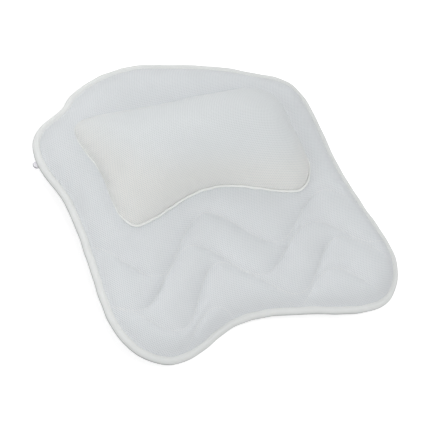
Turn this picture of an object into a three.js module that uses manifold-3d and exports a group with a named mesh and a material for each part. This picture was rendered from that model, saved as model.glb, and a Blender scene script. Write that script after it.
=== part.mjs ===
// Bath pillow with a wave-quilted mat, a crowned head pillow and six suction cups on its back.
// Millimetres: X runs across the mat, Y towards the head edge, Z up from the floor that the cups stand on.

import * as THREE from 'three';
import { mergeVertices } from 'three/addons/utils/BufferGeometryUtils.js';
import Module from 'manifold-3d';

const wasm = await Module();
wasm.setup();

// Clearance that touching pieces keep
const seatGap = 0.3;

// Plan of the mat: landmarks of its right half
const headEdgeY = 188;
const shoulderStepX = 128;
const shoulderStepDrop = 34;
const shoulderX = 190;
const shoulderY = 97;
const waistX = 183;
const waistY = 10;
const hipX = 195;
const hipY = -108;
const lobeX = 141;
const lobeEndY = -188;
const notchDepth = 24;

// Plan of the head pillow: landmarks of its right half
const pillowTopY = 122;
const pillowTopX = 141;
const pillowCornerY = 92;
const pillowWaistX = 134;
const pillowWaistY = 44;
const pillowLobeSideX = 136;
const pillowLobeSideY = 6;
const pillowLobeX = 108;
const pillowLobeEndY = -25;
const pillowArchY = 2;

// Suction cup, turned about its stud
const cupRadius = 27;
const cupLipWidth = 3;
const cupLipHeight = 0.9;
const cupHeight = 11;
const cupWall = 3.6;
const bellFullness = 2.4;
const cupShoulderRadius = 8.5;
const studRadius = 4;
const studHeadRadius = 7;
const studHeadHeight = 4.6;
const studHeadDome = 2.6;
const studHeadTopRadius = 3.5;
const tabLength = 16;
const tabWidth = 9;
const tabThickness = 1.6;
const tabLift = 0.6;
const tabRoot = 1.8;

// Grommet, washer and patch that carry a cup
const grommetBoreRadius = 4.6;
const grommetBarrelRadius = 6.2;
const grommetFlangeRadius = 9.5;
const grommetFlangeHeight = 1;
const grommetCurlRadius = 7.4;
const grommetCurlHeight = 0.8;
const grommetCurlRound = 0.6;
const washerRadius = 10;
const washerHeight = 1;
const patchRadius = 22;
const patchHeight = 1;

// Layers of the mat
const rearThickness = 2.5;
const padThickness = 10;
const padPocketRadius = 11;
const frontThickness = 8;
const hemThickness = 3;

// Edge binding and the hem that it holds
const bindingWidth = 11;
const bindingRoll = 6.5;
const bindingRise = 2.3;
const bindingTaper = 1.2;
const bindingBack = 2.6;
const slotClearance = 1.4;
const hemMargin = 1.4;
const edgeRoll = 6;
const undersideMargin = 3;
const padMargin = 3;

// Wave quilting: depth of the seams, height of the puffs and the course of the lines
const seamDepth = 5;
const puffHeight = 4;
const puffSlope = 0.3;
const puffFullness = 0.7;
const flankWidth = 14;
const waveCount = 4;
const waveFirstY = -58;
const waveSpacing = 35;
const waveAmplitude = 25;
const waveLength = 168;
const waveCrestX = -31;
const waveStagger = 31;
const waveSkew = 0.15;

// Head pillow: crown above the mat, the bowed spine under the crown and the thickness of the cover
const pillowCrown = 46;
const pillowEndDrop = 8;
const spineShare = 0.54;
const spineY = 53;
const spineBow = 11;
const pillowDrawIn = 1;
const coverThickness = 3;
const pipingRadius = 1.6;

// Cup stations on the right half, from the mat's own landmarks
const shoulderCupInset = 44;
const shoulderCupDrop = 5;
const waistCupInset = 73;
const waistCupDrop = 28;
const hipCupInset = 63;
const hipCupDrop = 15;
const cupPlaces = [
  [shoulderX - shoulderCupInset, shoulderY - shoulderCupDrop],
  [waistX - waistCupInset, waistY - waistCupDrop],
  [hipX - hipCupInset, hipY - hipCupDrop],
];

// Counts of facets
const cupSides = 20;
const ringSides = 16;
const bindingSteps = 88;
const sheetSteps = 96;
const pillowSteps = 56;
const gridColumns = 25;
const roundSteps = 9;
const innerRoundSteps = 6;
const rollSteps = 5;
const bellSteps = 4;

// Heights that follow from the stack, from the floor up
const flangeZ = cupHeight + seatGap;
const patchZ = flangeZ + grommetFlangeHeight + seatGap;
const rearZ = patchZ + patchHeight + seatGap;
const rearTopZ = rearZ + rearThickness;
const washerZ = rearTopZ + seatGap;
const curlZ = washerZ + washerHeight + seatGap;
const studHeadZ = curlZ + grommetCurlHeight + seatGap;
const padZ = rearTopZ + seatGap;
const padTopZ = padZ + padThickness;
const hemZ = rearTopZ + seatGap;
const hemTopZ = hemZ + hemThickness;
const frontZ = padTopZ + seatGap;
const frontTopZ = frontZ + frontThickness;
const pillowZ = frontTopZ + seatGap;

// Insets from the mat's outline
const hemInset = bindingBack + slotClearance;
const hemEnd = bindingWidth + hemMargin;
const plateauInset = hemEnd + edgeRoll;
const undersideInset = plateauInset + undersideMargin;
const padInset = undersideInset + padMargin;

const fabricWhite = 0xdadee0;
const bindingWhite = 0xe2e2de;
const coreWhite = 0xe8e8e4;
const clearVinyl = 0xdfe6ea;
const nylonWhite = 0xe6e6e2;

/**
 * Half of a symmetric outline, clockwise from its top middle to its bottom middle.
 * Bezier curves join its landmarks.
 * A landmark has a heading in degrees and an ease: its handles' share of the distance to each neighbour.
 */
function halfOutline(landmarks) {
  const path = new THREE.CurvePath();
  const heading = ({ heading: degrees }) => {
    const angle = THREE.MathUtils.degToRad(degrees);
    return new THREE.Vector2(Math.cos(angle), Math.sin(angle));
  };
  for (let i = 0; i + 1 < landmarks.length; i++) {
    const from = landmarks[i];
    const to = landmarks[i + 1];
    const start = new THREE.Vector2(...from.at);
    const end = new THREE.Vector2(...to.at);
    const span = start.distanceTo(end);
    const leave = start.clone().addScaledVector(heading(from), from.ease * span);
    const arrive = end.clone().addScaledVector(heading(to), -to.ease * span);
    path.add(new THREE.CubicBezierCurve(start, leave, arrive, end));
  }
  return path;
}

/** Point at share s of the whole outline, counter-clockwise from its bottom middle, moved in by inset. */
function outlinePoint(half, s, inset = 0) {
  const turn = ((s % 1) + 1) % 1;
  const right = turn <= 0.5;
  const t = 1 - 2 * (right ? turn : 1 - turn);
  const point = half.getPoint(t);
  const tangent = half.getTangent(t);
  const x = point.x + inset * tangent.y;
  const y = point.y - inset * tangent.x;
  return new THREE.Vector2(right ? x : -x, y);
}

/** Ring of evenly spaced outline points. */
function outlineRing(half, count, inset = 0) {
  return Array.from({ length: count }, (_, i) => outlinePoint(half, i / count, inset));
}

const matHalf = halfOutline([
  { at: [0, headEdgeY], heading: 0, ease: 0.36 },
  { at: [shoulderStepX, headEdgeY - shoulderStepDrop], heading: -36, ease: 0.27 },
  { at: [shoulderX, shoulderY], heading: -86, ease: 0.49 },
  { at: [waistX, waistY], heading: -89, ease: 0.44 },
  { at: [hipX, hipY], heading: -85, ease: 0.43 },
  { at: [lobeX, lobeEndY], heading: 185, ease: 0.33 },
  { at: [0, lobeEndY + notchDepth], heading: 180, ease: 0.52 },
]);

const pillowHalf = halfOutline([
  { at: [0, pillowTopY], heading: 0, ease: 0.74 },
  { at: [pillowTopX, pillowCornerY], heading: -90, ease: 0.24 },
  { at: [pillowWaistX, pillowWaistY], heading: -90, ease: 0.34 },
  { at: [pillowLobeSideX, pillowLobeSideY], heading: -90, ease: 0.42 },
  { at: [pillowLobeX, pillowLobeEndY], heading: 180, ease: 0.3 },
  { at: [0, pillowArchY], heading: 180, ease: 0.4 },
]);

/** BufferGeometry from points and triangles. */
function geometryOf(points, triangles) {
  const geometry = new THREE.BufferGeometry();
  geometry.setAttribute('position', new THREE.Float32BufferAttribute(points.flat(), 3));
  geometry.setIndex(triangles);
  geometry.computeVertexNormals();
  return geometry;
}

/** Triangles between two rings of count points that start at indices a and b. */
function bandTriangles(a, b, count) {
  const triangles = [];
  for (let i = 0; i < count; i++) {
    const j = (i + 1) % count;
    triangles.push(a + i, a + j, b + i, a + j, b + j, b + i);
  }
  return triangles;
}

/** Solid skinned over rings, closed at both ends by a fan to a middle point. */
function ringSolid(rings, startPoint, endPoint) {
  const count = rings[0].length;
  const points = [...rings.flat(), startPoint, endPoint];
  const startIndex = rings.length * count;
  const endIndex = startIndex + 1;
  const last = (rings.length - 1) * count;
  const triangles = [];
  for (let k = 0; k + 1 < rings.length; k++) {
    triangles.push(...bandTriangles(k * count, (k + 1) * count, count));
  }
  for (let i = 0; i < count; i++) {
    const j = (i + 1) % count;
    triangles.push(startIndex, j, i);
    triangles.push(endIndex, last + i, last + j);
  }
  return geometryOf(points, triangles);
}

/** Closed tube: the same section, listed as insets and heights, carried round an outline. */
function loopSolid(half, steps, section) {
  const rings = section.map(([inset, z]) => outlineRing(half, steps, inset).map((p) => [p.x, p.y, z]));
  const triangles = [];
  for (let k = 0; k < rings.length; k++) {
    triangles.push(...bandTriangles(k * steps, ((k + 1) % rings.length) * steps, steps));
  }
  return geometryOf(rings.flat(), triangles);
}

/** Flat sheet of an inset outline with round holes, from z = 0 up. */
function sheetGeometry(half, inset, thickness, holes, holeRadius) {
  const shape = new THREE.Shape(outlineRing(half, sheetSteps, inset));
  for (const [x, y] of holes) {
    const circle = Array.from({ length: ringSides }, (_, i) => {
      const angle = (-2 * Math.PI * i) / ringSides;
      return new THREE.Vector2(x + holeRadius * Math.cos(angle), y + holeRadius * Math.sin(angle));
    });
    shape.holes.push(new THREE.Path(circle));
  }
  return new THREE.ExtrudeGeometry(shape, { depth: thickness, bevelEnabled: false });
}

/** Solid turned about Z from a closed profile of radii and heights. */
function turned(profile, sides) {
  const points = profile.map(([r, z]) => new THREE.Vector2(r, z));
  const geometry = new THREE.LatheGeometry(points, sides);
  geometry.rotateX(Math.PI / 2);
  return geometry;
}

/** Turned ring with a rectangular section. */
function ringGeometry(inner, outer, z, height) {
  const section = [[inner, z], [outer, z], [outer, z + height], [inner, z + height], [inner, z]];
  return turned(section, ringSides);
}

/** Manifold solid of a geometry. */
function solidOf(geometry) {
  const bare = geometry.clone();
  bare.deleteAttribute('normal');
  bare.deleteAttribute('uv');
  const merged = mergeVertices(bare, 1e-4);
  const vertProperties = new Float32Array(merged.attributes.position.array);
  const triVerts = new Uint32Array(merged.index.array);
  return new wasm.Manifold(new wasm.Mesh({ numProp: 3, vertProperties, triVerts }));
}

/** Geometry of a Manifold solid. */
function geometryOfSolid(solid) {
  const mesh = solid.getMesh();
  const geometry = new THREE.BufferGeometry();
  geometry.setAttribute('position', new THREE.Float32BufferAttribute(mesh.vertProperties, 3));
  geometry.setIndex([...mesh.triVerts]);
  geometry.computeVertexNormals();
  return geometry;
}

/** Y of wave line k at x: line 0 is nearest the head pillow, and every second line is shifted across. */
function waveY(k, x) {
  const crest = waveCrestX - (k % 2) * waveStagger;
  const phase = (2 * Math.PI * (x - crest)) / waveLength;
  return waveFirstY - k * waveSpacing + waveAmplitude * Math.cos(phase + waveSkew * (1 - Math.cos(phase)));
}

/** Quilted front panel: a grid whose rows follow the wave lines, with its edge drawn down to a thin hem. */
function frontPanelGeometry() {
  // Shares of the outline where the grid has its corners, on the lobes and on the shoulders
  const lowCorner = 0.155;
  const highCorner = 0.365;
  const bottomS = (u) => THREE.MathUtils.lerp(-lowCorner, lowCorner, u);
  const topS = (u) => THREE.MathUtils.lerp(1 - highCorner, highCorner, u);
  const rightS = (v) => THREE.MathUtils.lerp(lowCorner, highCorner, v);
  const leftS = (v) => 1 - rightS(v);
  const at = (s) => outlinePoint(matHalf, s, plateauInset);
  const corners = [at(bottomS(0)), at(bottomS(1)), at(topS(0)), at(topS(1))];

  // Coons patch: the point of the plateau at shares u across and v from the lobes to the head edge
  const patchPoint = (u, v) => {
    const across = at(bottomS(u)).multiplyScalar(1 - v).addScaledVector(at(topS(u)), v);
    const along = at(leftS(v)).multiplyScalar(1 - u).addScaledVector(at(rightS(v)), u);
    const bilinear = corners[0].clone().multiplyScalar((1 - u) * (1 - v));
    bilinear.addScaledVector(corners[1], u * (1 - v));
    bilinear.addScaledVector(corners[2], (1 - u) * v);
    bilinear.addScaledVector(corners[3], u * v);
    return across.add(along).sub(bilinear);
  };

  // Share v where column u meets wave line k raised by lift
  const crossing = (u, k, lift) => {
    let low = 0;
    let high = 1;
    for (let i = 0; i < 30; i++) {
      const middle = (low + high) / 2;
      const p = patchPoint(u, middle);
      if (p.y < waveY(k, p.x) + lift) low = middle;
      else high = middle;
    }
    return low;
  };

  // Rows of one column: shares v and the relief of the top surface there
  const bandShares = [0.1, 0.35, 0.65, 0.9];
  const leastStep = 0.012;
  const upperSteps = 4;
  const columnRows = (u) => {
    const rows = [[0, 0]];
    let below = 0;
    for (let k = waveCount - 1; k >= 0; k--) {
      const line = Math.max(crossing(u, k, 0), below + leastStep);
      const shares = k === waveCount - 1 ? bandShares.slice(1, 3) : bandShares;
      const gap = patchPoint(u, line).y - patchPoint(u, below).y;
      const puff = Math.min(puffHeight, puffSlope * gap - seamDepth);
      for (const t of shares) {
        const swell = Math.sin(Math.PI * t) ** puffFullness;
        rows.push([THREE.MathUtils.lerp(below, line, t), (seamDepth + puff) * swell - seamDepth]);
      }
      rows.push([line, -seamDepth]);
      below = line;
    }
    const flank = Math.max(crossing(u, 0, flankWidth / 2), below + leastStep);
    const plateau = Math.max(crossing(u, 0, flankWidth), flank + leastStep);
    rows.push([flank, -seamDepth / 4], [plateau, 0]);
    for (let i = 1; i <= upperSteps; i++) {
      rows.push([THREE.MathUtils.lerp(plateau, 1, i / upperSteps), 0]);
    }
    return rows;
  };

  // Top surface, row by row
  const columns = Array.from({ length: gridColumns + 1 }, (_, i) => columnRows(i / gridColumns));
  const rowCount = columns[0].length;
  const width = gridColumns + 1;
  const points = [];
  for (let j = 0; j < rowCount; j++) {
    for (let i = 0; i < width; i++) {
      const [v, relief] = columns[i][j];
      const p = patchPoint(i / gridColumns, v);
      points.push([p.x, p.y, frontTopZ + relief]);
    }
  }
  const triangles = [];
  for (let j = 0; j + 1 < rowCount; j++) {
    for (let i = 0; i + 1 < width; i++) {
      const a = j * width + i;
      const b = a + width;
      triangles.push(a, a + 1, b, a + 1, b + 1, b);
    }
  }

  // Loop of the grid's border, with each point's share of the outline
  const border = [];
  const lastRow = rowCount - 1;
  for (let i = 0; i < gridColumns; i++) border.push([i, bottomS(i / gridColumns)]);
  const lastColumn = columns[gridColumns];
  for (let j = 0; j < lastRow; j++) border.push([j * width + gridColumns, rightS(lastColumn[j][0])]);
  for (let i = gridColumns; i > 0; i--) border.push([lastRow * width + i, topS(i / gridColumns)]);
  for (let j = lastRow; j > 0; j--) border.push([j * width, leftS(columns[0][j][0])]);

  // Rings from the border down to the hem, round its edge and in below to the flat underside
  const sections = [
    [hemEnd, hemTopZ],
    [hemInset, hemTopZ],
    [hemInset, hemZ],
    [hemEnd, hemZ],
    [undersideInset, frontZ],
  ];
  const count = border.length;
  let previous = border.map(([index]) => index);
  for (const [inset, z] of sections) {
    const ring = border.map(([, s]) => {
      const p = outlinePoint(matHalf, s, inset);
      points.push([p.x, p.y, z]);
      return points.length - 1;
    });
    for (let i = 0; i < count; i++) {
      const j = (i + 1) % count;
      triangles.push(ring[i], ring[j], previous[i], ring[j], previous[j], previous[i]);
    }
    previous = ring;
  }
  points.push([0, 0, frontZ]);
  const middle = points.length - 1;
  for (let i = 0; i < count; i++) triangles.push(middle, previous[(i + 1) % count], previous[i]);
  return geometryOf(points, triangles);
}

/** Rings of a stuffed dome over the head pillow's outline, from its foot up to a bowed spine, shrunk by a wall. */
function domeRings(wall, steps) {
  const seam = outlineRing(pillowHalf, pillowSteps);
  return Array.from({ length: steps }, (_, k) => {
    const share = k / steps;
    return seam.map((p) => {
      const end = (p.x / pillowTopX) ** 2;
      const spine = new THREE.Vector2(p.x * spineShare, spineY - spineBow * end);
      const arm = p.clone().sub(spine);
      arm.setLength(arm.length() - pillowDrawIn - wall).multiplyScalar(1 - share).add(spine);
      const crown = pillowCrown - pillowEndDrop * end - wall;
      return [arm.x, arm.y, pillowZ + crown * (1 - (1 - share) ** 2)];
    });
  });
}

/** Middle point of the dome's top for a wall. */
function domeTop(wall) {
  return [0, spineY, pillowZ + pillowCrown - wall];
}

/** Head pillow cover: the dome as a shell, open below. */
function pillowCoverGeometry() {
  const outer = domeRings(0, roundSteps);
  const inner = domeRings(coverThickness, innerRoundSteps).reverse();
  return ringSolid([...inner, ...outer], domeTop(coverThickness), domeTop(0));
}

/** Head pillow core: the filling, clear of the cover by the seat gap. */
function pillowCoreGeometry() {
  const wall = coverThickness + 2 * seatGap;
  return ringSolid(domeRings(wall, innerRoundSteps), [0, spineY, pillowZ], domeTop(wall));
}

/** Piping that lies against the foot of the head pillow. */
function pipingGeometry() {
  const sides = 6;
  const centreInset = pillowDrawIn - pipingRadius;
  const centreZ = pillowZ + pipingRadius;
  const section = Array.from({ length: sides }, (_, i) => {
    const angle = (2 * Math.PI * (i + 0.5)) / sides;
    return [centreInset - pipingRadius * Math.sin(angle), centreZ + pipingRadius * Math.cos(angle)];
  });
  return loopSolid(pillowHalf, pillowSteps, section.reverse());
}

/** Edge binding: rolled tape with a slot that takes the rear panel and the hem of the front panel. */
function bindingGeometry() {
  const slotLow = rearZ - seatGap;
  const slotHigh = hemTopZ + seatGap;
  const low = slotLow - bindingRise;
  const high = slotHigh + bindingRise;
  const middle = (low + high) / 2;
  const roll = Array.from({ length: rollSteps + 1 }, (_, i) => {
    const angle = Math.PI * (i / rollSteps - 0.5);
    return [bindingRoll * (1 - Math.cos(angle)), middle + ((high - low) / 2) * Math.sin(angle)];
  });
  return loopSolid(matHalf, bindingSteps, [
    [bindingBack, slotHigh],
    [bindingBack, slotLow],
    [bindingWidth, slotLow],
    [bindingWidth, low + bindingTaper],
    ...roll,
    [bindingWidth, high - bindingTaper],
    [bindingWidth, slotHigh],
  ]);
}

/** Suction cup: turned bell with a flat lip, a stud with a mushroom head, and a release tab. */
function cupGeometry() {
  const lipInner = cupRadius - cupLipWidth;
  const roof = cupHeight - cupWall;
  const headTop = studHeadZ + studHeadHeight;
  const inside = Array.from({ length: bellSteps + 1 }, (_, i) => {
    const share = i / bellSteps;
    return [lipInner * share, roof * (1 - share ** bellFullness)];
  });
  const outside = Array.from({ length: bellSteps }, (_, i) => {
    const share = 1 - i / (bellSteps - 1);
    const r = THREE.MathUtils.lerp(cupShoulderRadius, cupRadius, share);
    return [r, THREE.MathUtils.lerp(cupHeight, cupLipHeight, share * share)];
  });
  const bell = turned([
    ...inside,
    [cupRadius, 0],
    ...outside,
    [studRadius, cupHeight],
    [studRadius, studHeadZ],
    [studHeadRadius, studHeadZ],
    [studHeadRadius, headTop - studHeadDome],
    [studHeadTopRadius, headTop],
    [0, headTop],
  ], cupSides);
  const outline = new THREE.Shape();
  const start = cupRadius - tabRoot;
  const end = cupRadius + tabLength - tabWidth / 2;
  outline.moveTo(start, -tabWidth / 2);
  outline.lineTo(end, -tabWidth / 2);
  outline.absarc(end, 0, tabWidth / 2, -Math.PI / 2, Math.PI / 2, false);
  outline.lineTo(start, tabWidth / 2);
  outline.closePath();
  const tab = new THREE.ExtrudeGeometry(outline, { depth: tabThickness, bevelEnabled: false });
  tab.translate(0, 0, tabLift);
  return geometryOfSolid(solidOf(bell).add(solidOf(tab)));
}

/** Grommet: flange outside, barrel through patch and rear panel, and a curl over the washer inside. */
function grommetGeometry() {
  return turned([
    [grommetBoreRadius, flangeZ],
    [grommetFlangeRadius, flangeZ],
    [grommetFlangeRadius, flangeZ + grommetFlangeHeight],
    [grommetBarrelRadius, flangeZ + grommetFlangeHeight],
    [grommetBarrelRadius, curlZ],
    [grommetCurlRadius, curlZ],
    [grommetCurlRadius - grommetCurlRound, curlZ + grommetCurlHeight],
    [grommetBoreRadius, curlZ + grommetCurlHeight],
    [grommetBoreRadius, flangeZ],
  ], ringSides);
}

const part = new THREE.Group();
part.name = 'bath_pillow';

/** Named mesh with a material of its own. */
function addMesh(parent, name, geometry, colour, roughness) {
  const material = new THREE.MeshStandardMaterial({ color: colour, roughness, metalness: 0 });
  const mesh = new THREE.Mesh(geometry, material);
  mesh.name = name;
  parent.add(mesh);
  return mesh;
}

const stations = cupPlaces.flatMap(([x, y]) => [[-x, y], [x, y]]);
const barrelHole = grommetBarrelRadius + seatGap;

addMesh(part, 'front_panel', frontPanelGeometry(), fabricWhite, 0.95);
const padSheet = sheetGeometry(matHalf, padInset, padThickness, stations, padPocketRadius);
addMesh(part, 'pad_core', padSheet, coreWhite, 1).position.z = padZ;
const rearSheet = sheetGeometry(matHalf, hemInset, rearThickness, stations, barrelHole);
addMesh(part, 'rear_panel', rearSheet, fabricWhite, 0.95).position.z = rearZ;
addMesh(part, 'edge_binding', bindingGeometry(), bindingWhite, 0.9);
addMesh(part, 'head_pillow_cover', pillowCoverGeometry(), fabricWhite, 0.95);
addMesh(part, 'head_pillow_core', pillowCoreGeometry(), coreWhite, 1);
addMesh(part, 'head_pillow_piping', pipingGeometry(), bindingWhite, 0.9);

stations.forEach(([x, y], i) => {
  const station = new THREE.Group();
  station.position.set(x, y, 0);
  station.rotation.z = x < 0 ? Math.PI : 0;
  part.add(station);
  const number = i + 1;
  addMesh(station, `suction_cup_${number}`, cupGeometry(), clearVinyl, 0.15);
  addMesh(station, `cup_grommet_${number}`, grommetGeometry(), nylonWhite, 0.4);
  const washer = ringGeometry(barrelHole, washerRadius, washerZ, washerHeight);
  addMesh(station, `grommet_washer_${number}`, washer, nylonWhite, 0.4);
  const patch = ringGeometry(barrelHole, patchRadius, patchZ, patchHeight);
  addMesh(station, `cup_patch_${number}`, patch, bindingWhite, 0.9);
});

export default part;
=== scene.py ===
# %% [markdown]
# # Bath pillow
# A quilted mesh mat carries a crowned head pillow, and six suction cups hold it to the bath.
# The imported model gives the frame: where each piece is and what it rides on.
# Here every piece gets its real form and finish, in metres and in that same frame.

import math

import bmesh
import bpy
import numpy as np
from mathutils import Matrix, Vector
from mathutils.bvhtree import BVHTree
from mathutils.geometry import delaunay_2d_cdt


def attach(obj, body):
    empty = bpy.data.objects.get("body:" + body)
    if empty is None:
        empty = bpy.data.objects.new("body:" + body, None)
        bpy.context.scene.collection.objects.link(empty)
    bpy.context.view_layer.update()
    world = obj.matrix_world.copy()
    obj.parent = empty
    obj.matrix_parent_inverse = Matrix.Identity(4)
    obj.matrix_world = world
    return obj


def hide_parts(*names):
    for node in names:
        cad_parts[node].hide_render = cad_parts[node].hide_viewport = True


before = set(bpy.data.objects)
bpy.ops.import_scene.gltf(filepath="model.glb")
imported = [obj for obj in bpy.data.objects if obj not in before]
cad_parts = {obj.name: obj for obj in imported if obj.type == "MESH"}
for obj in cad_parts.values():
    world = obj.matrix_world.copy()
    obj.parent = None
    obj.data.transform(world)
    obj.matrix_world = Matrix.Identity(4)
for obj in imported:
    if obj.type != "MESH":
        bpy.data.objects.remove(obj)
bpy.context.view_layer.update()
MM = 0.001

# %% [markdown]
# ## The camera
# The viewing angle could be judged by eye, but an outline gives it away.
# The mat is symmetric but for its sewing.
# Only one angle, roll and distance then suit both of its halves at once.
# A long lens suits a product picture: far and near edges are almost at one scale.

# %% Camera at the viewing angle
IMAGE_WIDTH_PX = 430
FOCAL_PX = 1750
SENSOR_WIDTH = 36
VIEW_AZIMUTH = math.radians(-54.91)
VIEW_ELEVATION = math.radians(50.24)
VIEW_ROLL = math.radians(35.08)
VIEW_DISTANCE = 2011.8 * MM
VIEW_TARGET = Vector((-8.1, -25.0, 17.6)) * MM

level = math.cos(VIEW_ELEVATION)
view_back = Vector((
    math.sin(VIEW_AZIMUTH) * level,
    -math.cos(VIEW_AZIMUTH) * level,
    math.sin(VIEW_ELEVATION),
))
level_right = Vector((math.cos(VIEW_AZIMUTH), math.sin(VIEW_AZIMUTH), 0))
level_up = view_back.cross(level_right)
view_right = level_right * math.cos(VIEW_ROLL) + level_up * math.sin(VIEW_ROLL)
view_up = level_up * math.cos(VIEW_ROLL) - level_right * math.sin(VIEW_ROLL)

scene = bpy.context.scene
lens = bpy.data.cameras.new("product_lens")
lens.sensor_width = SENSOR_WIDTH
lens.lens = FOCAL_PX / IMAGE_WIDTH_PX * SENSOR_WIDTH
camera = bpy.data.objects.new("camera", lens)
scene.collection.objects.link(camera)
turn = Matrix((view_right, view_up, view_back)).transposed().to_4x4()
camera.matrix_world = Matrix.Translation(VIEW_TARGET + view_back * VIEW_DISTANCE) @ turn
scene.camera = camera
scene.view_settings.view_transform = "Standard"
print("lens in mm:", round(lens.lens, 1))

# %% [markdown]
# ## Shader sums in plain Python
# A weave is arithmetic on a position: fractions, squares and soft steps.
# Wiring a dozen Math nodes by hand hides that sum.
# So one small class wraps a socket and takes Python's operators.
# Every other node comes from its single `node` method, which sets the node up first and links it after.


# %% A socket that takes part in arithmetic
class Wire:
    """A socket of a node tree. Sums on wires add Math nodes."""

    def __init__(self, tree, socket=None):
        self.tree = tree
        self.socket = socket

    def node(self, kind, settings=None, inputs=None, output=0):
        """A new node with its settings, then its sockets' values or links. Returns one output as a wire."""
        made = self.tree.nodes.new(kind)
        for name, value in (settings or {}).items():
            setattr(made, name, value)
        for name, value in (inputs or {}).items():
            socket = made.inputs[name]
            if isinstance(value, Wire):
                self.tree.links.new(value.socket, socket)
            else:
                socket.default_value = value
        return Wire(self.tree, made.outputs[output]) if len(made.outputs) else made

    def beside(self, output):
        """Another output of the node that this wire comes from."""
        return Wire(self.tree, self.socket.node.outputs[output])

    def feed(self, shader, links):
        """Link wires to a shader's sockets by name."""
        for name, wire in links.items():
            self.tree.links.new(wire.socket, shader.inputs[name])

    def math(self, operation, *values):
        return self.node("ShaderNodeMath", {"operation": operation}, dict(enumerate(values)))

    def __add__(self, other):
        return self.math("ADD", self, other)

    def __radd__(self, other):
        return self.math("ADD", other, self)

    def __sub__(self, other):
        return self.math("SUBTRACT", self, other)

    def __rsub__(self, other):
        return self.math("SUBTRACT", other, self)

    def __mul__(self, other):
        return self.math("MULTIPLY", self, other)

    def __rmul__(self, other):
        return self.math("MULTIPLY", other, self)

    def __truediv__(self, other):
        return self.math("DIVIDE", self, other)

    def __rtruediv__(self, other):
        return self.math("DIVIDE", other, self)

    def __pow__(self, other):
        return self.math("POWER", self, other)

    def __rpow__(self, other):
        return self.math("POWER", other, self)

    def __abs__(self):
        return self.math("ABSOLUTE", self)

    def fraction(self):
        return self.math("FRACT", self)

    def sine(self):
        return self.math("SINE", self)

    def least(self, other):
        return self.math("MINIMUM", self, other)

    def most(self, other):
        return self.math("MAXIMUM", self, other)

    def soft_step(self, start, end):
        """0 below start, 1 above end, and a smooth rise between."""
        return self.node(
            "ShaderNodeMapRange",
            {"interpolation_type": "SMOOTHSTEP"},
            {"Value": self, "From Min": start, "From Max": end},
        )


print("shader class ready")

# %% [markdown]
# ## Colours and finishes
# Colours are easiest to name as 8-bit picture values, but shaders count light, so one helper converts.
# All finishes start from the Principled shader and share the same few nodes.
# These are the place on the cloth, slow clouds of tone, and a mix of two colours by a mask.


# %% Helpers for finishes
def linear(red, green, blue):
    """Colour of an 8-bit picture value, as the shader counts light."""
    def level_of(byte):
        share = byte / 255
        return share / 12.92 if share <= 0.04045 else ((share + 0.055) / 1.055) ** 2.4
    return (level_of(red), level_of(green), level_of(blue), 1)


def new_material(name, **constants):
    """A Principled material with constant sockets set, a wire to start from, and its shader."""
    material = bpy.data.materials.new(name)
    material.use_nodes = True
    shader = material.node_tree.nodes["Principled BSDF"]
    for socket, value in constants.items():
        shader.inputs[socket.replace("_", " ")].default_value = value
    return material, Wire(material.node_tree), shader


def tinted(wire, mask, low, high):
    """Colour between low, where the mask is 0, and high, where it is 1."""
    return wire.node("ShaderNodeMix", {"data_type": "RGBA"}, {"Factor": mask, 6: low, 7: high}, 2)


def cloth_place(wire):
    """Place on the cloth in metres, along and across, from the piece's own map."""
    spot = wire.node("ShaderNodeUVMap", {"uv_map": "cloth"})
    along = wire.node("ShaderNodeSeparateXYZ", None, {0: spot})
    return along, along.beside(1)


def object_place(wire):
    """Place on the object in metres."""
    return wire.node("ShaderNodeTexCoord", None, None, "Object")


def clouds(wire, scale, detail):
    """Slow change of tone over the object, from 0 to 1."""
    inputs = {"Vector": object_place(wire), "Scale": scale, "Detail": detail}
    return wire.node("ShaderNodeTexNoise", None, inputs)


def relief(wire, height, strength, depth):
    """Normal of a surface with small relief."""
    inputs = {"Strength": strength, "Distance": depth, "Height": height}
    return wire.node("ShaderNodeBump", None, inputs, "Normal")


print("white as the shader counts it:", linear(255, 255, 255))

# %% [markdown]
# ## Floor and room
# The pillow lies on plain white paper.
# Camera rays see the paper as white, and a share of its real shading keeps the soft shadow under the rim.
# Other rays meet a greyer paper, so that it doesn't light the rim too strongly from below.
# The room is bright low down and dark overhead, because lamps give the light from above.

# %% White paper and white room
PAPER_SHARE = 0.64
PAPER_GLOW = 2.15
PAPER_TONE = 232
BOUNCE_TONE = 180
FLOOR_HALF = 4.0
ROOM_LOW = 1.1
ROOM_HIGH = 0.0
WHITE = (1, 1, 1, 1)


def seen_directly(wire):
    """1 for rays from the camera, or through gloss or clear plastic."""
    seen = wire.node("ShaderNodeLightPath", None, None, "Is Camera Ray")
    return seen.most(seen.beside("Is Glossy Ray")).most(seen.beside("Is Transmission Ray"))


paper = bpy.data.materials.new("white_paper")
paper.use_nodes = True
paper.node_tree.nodes.clear()
wire = Wire(paper.node_tree)
shade = wire.node("ShaderNodeBsdfDiffuse", None, {"Color": linear(PAPER_TONE, PAPER_TONE, PAPER_TONE)})
glow = wire.node("ShaderNodeEmission", None, {"Color": WHITE, "Strength": PAPER_GLOW})
bright = wire.node("ShaderNodeMixShader", None, {0: 1 - PAPER_SHARE, 1: shade, 2: glow})
bounce = wire.node("ShaderNodeBsdfDiffuse", None, {"Color": linear(BOUNCE_TONE, BOUNCE_TONE, BOUNCE_TONE)})
both = wire.node("ShaderNodeMixShader", None, {0: seen_directly(wire), 1: bounce, 2: bright})
wire.node("ShaderNodeOutputMaterial", None, {"Surface": both})

floor_mesh = bpy.data.meshes.new("floor")
corners = [(x * FLOOR_HALF, y * FLOOR_HALF, 0) for x, y in ((-1, -1), (1, -1), (1, 1), (-1, 1))]
floor_mesh.from_pydata(corners, [], [(0, 1, 2, 3)])
floor_mesh.materials.append(paper)
floor = bpy.data.objects.new("floor", floor_mesh)
scene.collection.objects.link(floor)

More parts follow.
